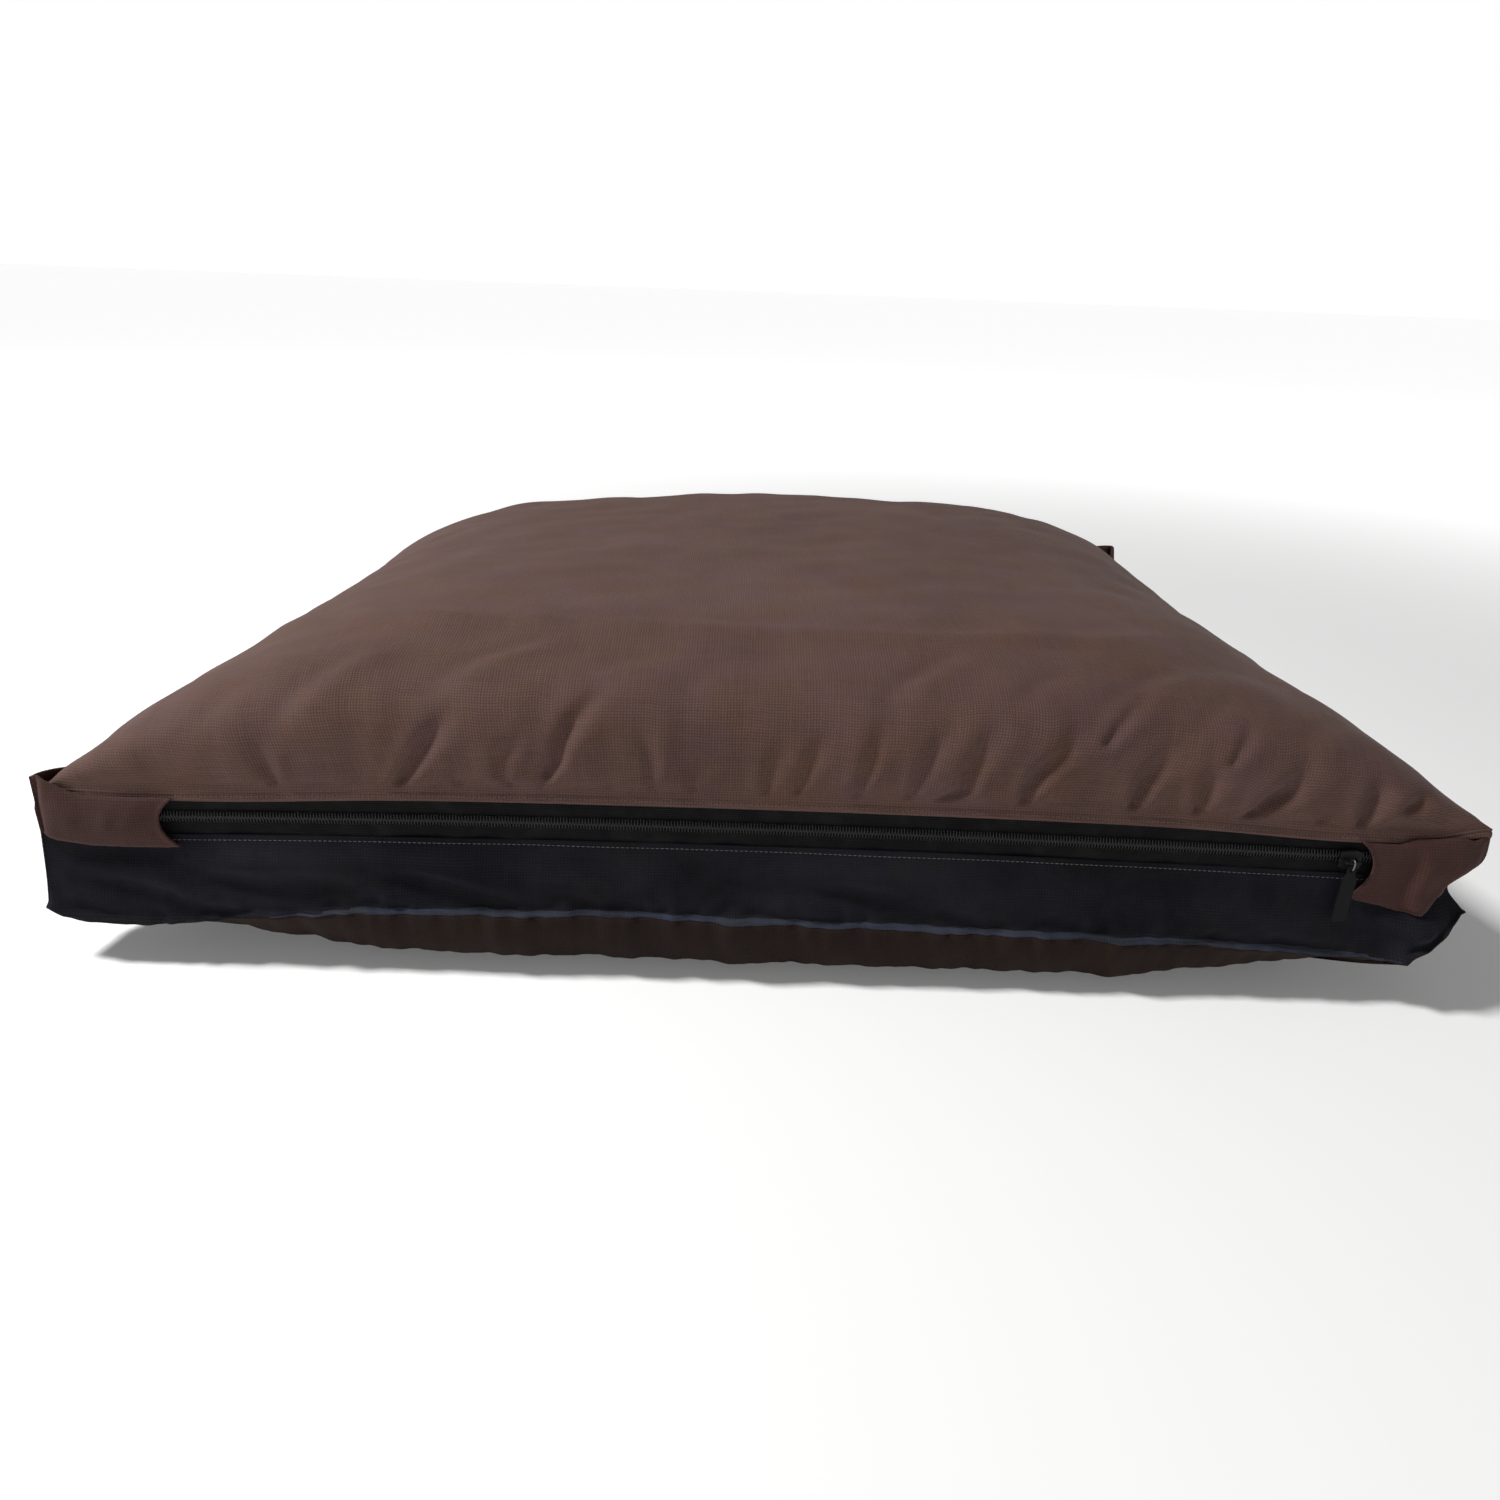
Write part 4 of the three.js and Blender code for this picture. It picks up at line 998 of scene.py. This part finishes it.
def coil(sign):
    """One half of the coil chain: a row of moulded loops, every one a real tooth."""
    n = int(2 * HALF / PITCH)
    # section path of one tooth in (z from the centre, y forward of the tape)
    path = np.array([(3.05, 0.0002), (3.15, 0.0010), (2.75, 0.0017), (1.6, 0.0020), (0.4, 0.0020), (-0.55, 0.0018), (-0.85, 0.0012), (-0.45, 0.0006)]) * np.array([0.001, 1])
    rad = np.array([0.25, 0.30, 0.33, 0.33, 0.34, 0.42, 0.40, 0.2]) * 0.001
    M = 6
    verts, faces = [], []
    th = np.arange(M) * 2 * math.pi / M
    d = np.gradient(path, axis=0)
    d /= np.linalg.norm(d, axis=1, keepdims=True)
    for i in range(n):
        xc = -HALF + (i + 0.5 + (0.25 if sign > 0 else -0.25)) * PITCH
        b = len(verts)
        zz, yy = float(zip_z(xc)), float(zip_y(xc))
        for (pz, py), (dz, dy), r in zip(path, d, rad):
            for a in th:
                ox = math.cos(a) * r * 0.95
                on = math.sin(a) * r
                verts.append((xc + ox, TAPE_Y + yy - (py + dz * on), Z_ZIP + zz + sign * (pz - dy * on)))
        for s in range(len(path) - 1):
            for m in range(M):
                p, q = b + s * M + m, b + s * M + (m + 1) % M
                f = (p, q, q + M, p + M)
                faces.append(f if sign > 0 else f[::-1])
        e0 = tuple(b + m for m in range(M))
        e1 = tuple(b + (len(path) - 1) * M + m for m in range(M))
        faces.append(e0[::-1] if sign > 0 else e0)
        faces.append(e1 if sign > 0 else e1[::-1])
    ob = new_object("zip_teeth_upper" if sign > 0 else "zip_teeth_lower", verts, faces)
    paint(ob, M_COIL)
    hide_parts("zip_coil_upper" if sign > 0 else "zip_coil_lower")
    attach(ob, "cushion")
    return ob


coil(1)
coil(-1)


# ------------------------------------------------------------------ stitching
def stitches(name, centres, tangents, normals_, length, radius, mat, node):
    """A row of lockstitches: each stitch is a short thread that dips in at both ends."""
    M, S = 6, 5
    verts, faces = [], []
    th = np.arange(M) * 2 * math.pi / M
    for c, t, n in zip(centres, tangents, normals_):
        c, t, n = map(np.asarray, (c, t, n))
        w = np.cross(t, n)
        b = len(verts)
        for s in range(S):
            u = s / (S - 1) * 2 - 1
            h = radius * (0.75 - 1.5 * u * u)
            r = radius * math.sqrt(max(0.12, 1 - 0.75 * u * u))
            o = c + t * (u * length / 2) + n * h
            for a in th:
                verts.append(tuple(o + w * (math.cos(a) * r) + n * (math.sin(a) * r * 0.8)))
        for s in range(S - 1):
            for m in range(M):
                p, q = b + s * M + m, b + s * M + (m + 1) % M
                faces.append((p, q, q + M, p + M))
        faces.append(tuple(b + m for m in range(M))[::-1])
        faces.append(tuple(b + (S - 1) * M + m for m in range(M)))
    ob = new_object(name, verts, faces)
    bm = bmesh.new()
    bm.from_mesh(ob.data)
    bmesh.ops.recalc_face_normals(bm, faces=bm.faces)
    bm.to_mesh(ob.data)
    bm.free()
    ob.data.polygons.foreach_set("use_smooth", [True] * len(ob.data.polygons))
    paint(ob, mat)
    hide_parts(node)
    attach(ob, "cushion")
    return ob


xs_ = np.arange(-0.306, 0.3061, 0.0026)
cs = [(x, -HY - 0.0004 + float(zip_y(x)), Z_SEAM - 0.0012 + float(zip_z(x)) - DROOP * float(gauss(x, -0.285, 0.065) + 1.25 * gauss(x, 0.300, 0.060))) for x in xs_]
stitches("stitch_row_hem", cs, [(1, 0, 0)] * len(cs), [(0, -1, 0.1)] * len(cs), 0.0021, 0.00022, M_THREAD_B, "hem_stitching")
# the gusset row follows the front gusset's own surface
row = G[-3, starts[0]:starts[1]]
row2 = G[-2, starts[0]:starts[1]]
xs2 = np.arange(-0.365, 0.352, 0.0026)
zrow = Z_GUSSET - 0.0023
gy = np.array([np.interp(xs2, G[r, starts[0]:starts[1], 0], G[r, starts[0]:starts[1], 1]) for r in range(len(tt))])
gz = np.array([np.interp(xs2, G[r, starts[0]:starts[1], 0], G[r, starts[0]:starts[1], 2]) for r in range(len(tt))])
cs = []
for i, x in enumerate(xs2):
    zt_ = zrow + float(zip_z(x))
    cs.append((x, float(np.interp(zt_, gz[:, i], gy[:, i])) - 0.00005, zt_))
stitches("stitch_row_gusset", cs, [(1, 0, 0)] * len(cs), [(0, -1, 0)] * len(cs), 0.0020, 0.00022, M_THREAD_G, "gusset_stitching")

# ------------------------------------------------------------------ carried-over CAD nodes
for node, mat, bev in (("zip_slider", M_SLIDER, 0.00025), ("zip_pull_ring", M_RING, 0), ("zip_pull_tab", M_TAB, 0.00022)):
    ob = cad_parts[node]
    for s in ob.material_slots:
        s.material = mat
    if not ob.material_slots:
        ob.data.materials.append(mat)
    if bev:
        b = ob.modifiers.new("bevel", "BEVEL")
        b.width = bev
        b.segments = 2
        b.limit_method = "ANGLE"
        b.angle_limit = math.radians(35)



# the inner cushion, seen only with the zip open: two liner halves round loose fibre
def inner(name, node, hx, hy, drop, low, upper, mat, lump):
    u_, v_ = np.sin(np.linspace(-0.5, 0.5, 90) * math.pi), np.sin(np.linspace(-0.5, 0.5, 80) * math.pi)
    Ui, Vi = np.meshgrid(u_, v_)
    X, Y = plan(Ui, Vi, hx, hy)
    tuck_in = 1 - 0.055 * np.exp(-(((1 - np.abs(Ui)) ** 2 + (1 - np.abs(Vi)) ** 2) / 0.03))   # corners stop short of the cover's
    X, Y = X * tuck_in, Y * tuck_in
    m = np.minimum(1, (np.abs(Ui) ** 8 + np.abs(Vi) ** 8) ** 0.125)
    bowl = np.sqrt(np.clip(1 - (np.clip(m - 0.70, 0, 1) / 0.30) ** 2, 0, 1))
    wob = lump * noise2(X, Y, 61, 0.09) * smooth(1 - m, 0.0, 0.2)
    zu = 0.068 + (CROWN - drop - 0.068) * dome(Ui, Vi) + wob - 0.002 * smooth(1 - m, 0, 0.2)
    zl = 0.068 - (0.068 - low) * bowl + np.abs(wob) * 0.4
    top_ = np.stack([X, Y, zu], -1)
    bot_ = np.stack([X, Y, zl], -1)
    if upper is None:                                     # a closed body of fibre
        verts = np.concatenate([top_.reshape(-1, 3), bot_.reshape(-1, 3)])
        ny, nx = X.shape
        f = grid_faces(ny, nx) + grid_faces(ny, nx, flip=True, off=ny * nx)
        ob = new_object(name, verts, f)
        bm = bmesh.new()
        bm.from_mesh(ob.data)
        bmesh.ops.remove_doubles(bm, verts=bm.verts, dist=0.00005)
        bm.to_mesh(ob.data)
        bm.free()
        ob.data.polygons.foreach_set("use_smooth", [True] * len(ob.data.polygons))
    else:
        ob = grid_object(name, top_ if upper else bot_, flip=not upper)
        solidify(ob, 0.0006)
    paint(ob, mat)
    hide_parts(node)
    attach(ob, "cushion")
    return ob


inner("liner_cloth_upper", "liner_top", HX - 0.0085, HY - 0.0085, 0.0065, 0.0045, True, M_LINER, 0.0012)
inner("liner_cloth_lower", "liner_bottom", HX - 0.0090, HY - 0.0090, 0.0065, 0.0045, False, M_LINER, 0.0012)
inner("fibre_filling", "fibre_fill", HX - 0.0120, HY - 0.0120, 0.0100, 0.0075, None, M_FIBRE, 0.0018)

# ------------------------------------------------------------------ camera, floor, light
yaw, pitch, roll = math.radians(-0.44), math.radians(22.70), math.radians(2.15)
cy, sy, cp, sp = math.cos(yaw), math.sin(yaw), math.cos(pitch), math.sin(pitch)
fwd = Vector((-sy * cp, cy * cp, -sp))
rgt = Vector((cy, sy, 0))
up = rgt.cross(fwd)
r2 = math.cos(roll) * rgt + math.sin(roll) * up
u2 = -math.sin(roll) * rgt + math.cos(roll) * up
cam_data = bpy.data.cameras.new("camera")
cam_data.sensor_width = 36
cam_data.lens = 1100 / 1500 * 36
cam_data.clip_start = 0.02
cam = bpy.data.objects.new("camera", cam_data)
bpy.context.scene.collection.objects.link(cam)
cam.matrix_world = Matrix(((r2.x, u2.x, -fwd.x, -0.0155), (r2.y, u2.y, -fwd.y, -0.8308), (r2.z, u2.z, -fwd.z, 0.3495), (0, 0, 0, 1)))
bpy.context.scene.camera = cam

# pale floor with a soft rise of light far from the object, so it runs into the backdrop
nf_ = 72
ringr = [0.0, 0.5, 1.0, 1.6, 2.4, 4.0, 8.0, 20.0, 60.0, 200.0]
fv = [(0, 0, 0)]
for r in ringr[1:]:
    fv += [(r * math.cos(2 * math.pi * i / nf_), r * math.sin(2 * math.pi * i / nf_), 0) for i in range(nf_)]
ff = [(0, 1 + i, 1 + (i + 1) % nf_) for i in range(nf_)]
for k in range(len(ringr) - 2):
    a = 1 + k * nf_
    ff += [(a + i, a + nf_ + i, a + nf_ + (i + 1) % nf_, a + (i + 1) % nf_) for i in range(nf_)]
floor = new_object("floor", fv, ff)
fm, nt, bsdf = material("floor_matte")
bsdf.inputs["Base Color"].default_value = (0.90, 0.90, 0.895, 1)
bsdf.inputs["Roughness"].default_value = 0.9
bsdf.inputs["Specular IOR Level"].default_value = 0.1
kf = N(nt)
sepf = kf.new("ShaderNodeVectorMath", operation="LENGTH")
nt.links.new(kf.new("ShaderNodeTexCoord").outputs["Object"], sepf.inputs[0])
bsdf.inputs["Emission Color"].default_value = (1, 1, 1, 1)
k_em = kf.new("ShaderNodeMapRange", interpolation_type="SMOOTHSTEP")
k_em.inputs["From Min"].default_value = 0.6
k_em.inputs["From Max"].default_value = 2.4
k_em.inputs["To Min"].default_value = 0.10
k_em.inputs["To Max"].default_value = 0.76
nt.links.new(sepf.outputs["Value"], k_em.inputs["Value"])
nt.links.new(k_em.outputs[0], bsdf.inputs["Emission Strength"])
paint(floor, fm)
floor.location.z = -0.0004


def area(name, loc, target, size, power, color=(1, 1, 1)):
    d = bpy.data.lights.new(name, "AREA")
    d.shape = "RECTANGLE"
    d.size, d.size_y = size
    d.energy = power
    d.color = color
    o = bpy.data.objects.new(name, d)
    o.location = loc
    o.rotation_euler = (Vector(target) - Vector(loc)).to_track_quat("-Z", "Y").to_euler()
    bpy.context.scene.collection.objects.link(o)
    return o


area("key", (-1.75, -0.45, 2.2), (0, -0.05, 0.08), (0.45, 0.45), 84)
world = bpy.data.worlds.new("world")
world.use_nodes = True
wn = world.node_tree
kw = N(wn)
wsep = kw.new("ShaderNodeSeparateXYZ")
wn.links.new(kw.new("ShaderNodeTexCoord").outputs["Generated"], wsep.inputs[0])
wr = kw.new("ShaderNodeMapRange", interpolation_type="SMOOTHSTEP")
wr.inputs["From Min"].default_value = 0.215
wr.inputs["From Max"].default_value = 0.36
wr.inputs["To Min"].default_value = 1.0
wr.inputs["To Max"].default_value = 0.14
wn.links.new(wsep.outputs[2], wr.inputs["Value"])
wn.nodes["Background"].inputs[0].default_value = (1, 1, 1, 1)
wn.links.new(wr.outputs[0], wn.nodes["Background"].inputs[1])
bpy.context.scene.world = world
bpy.context.scene.view_settings.view_transform = "Standard"
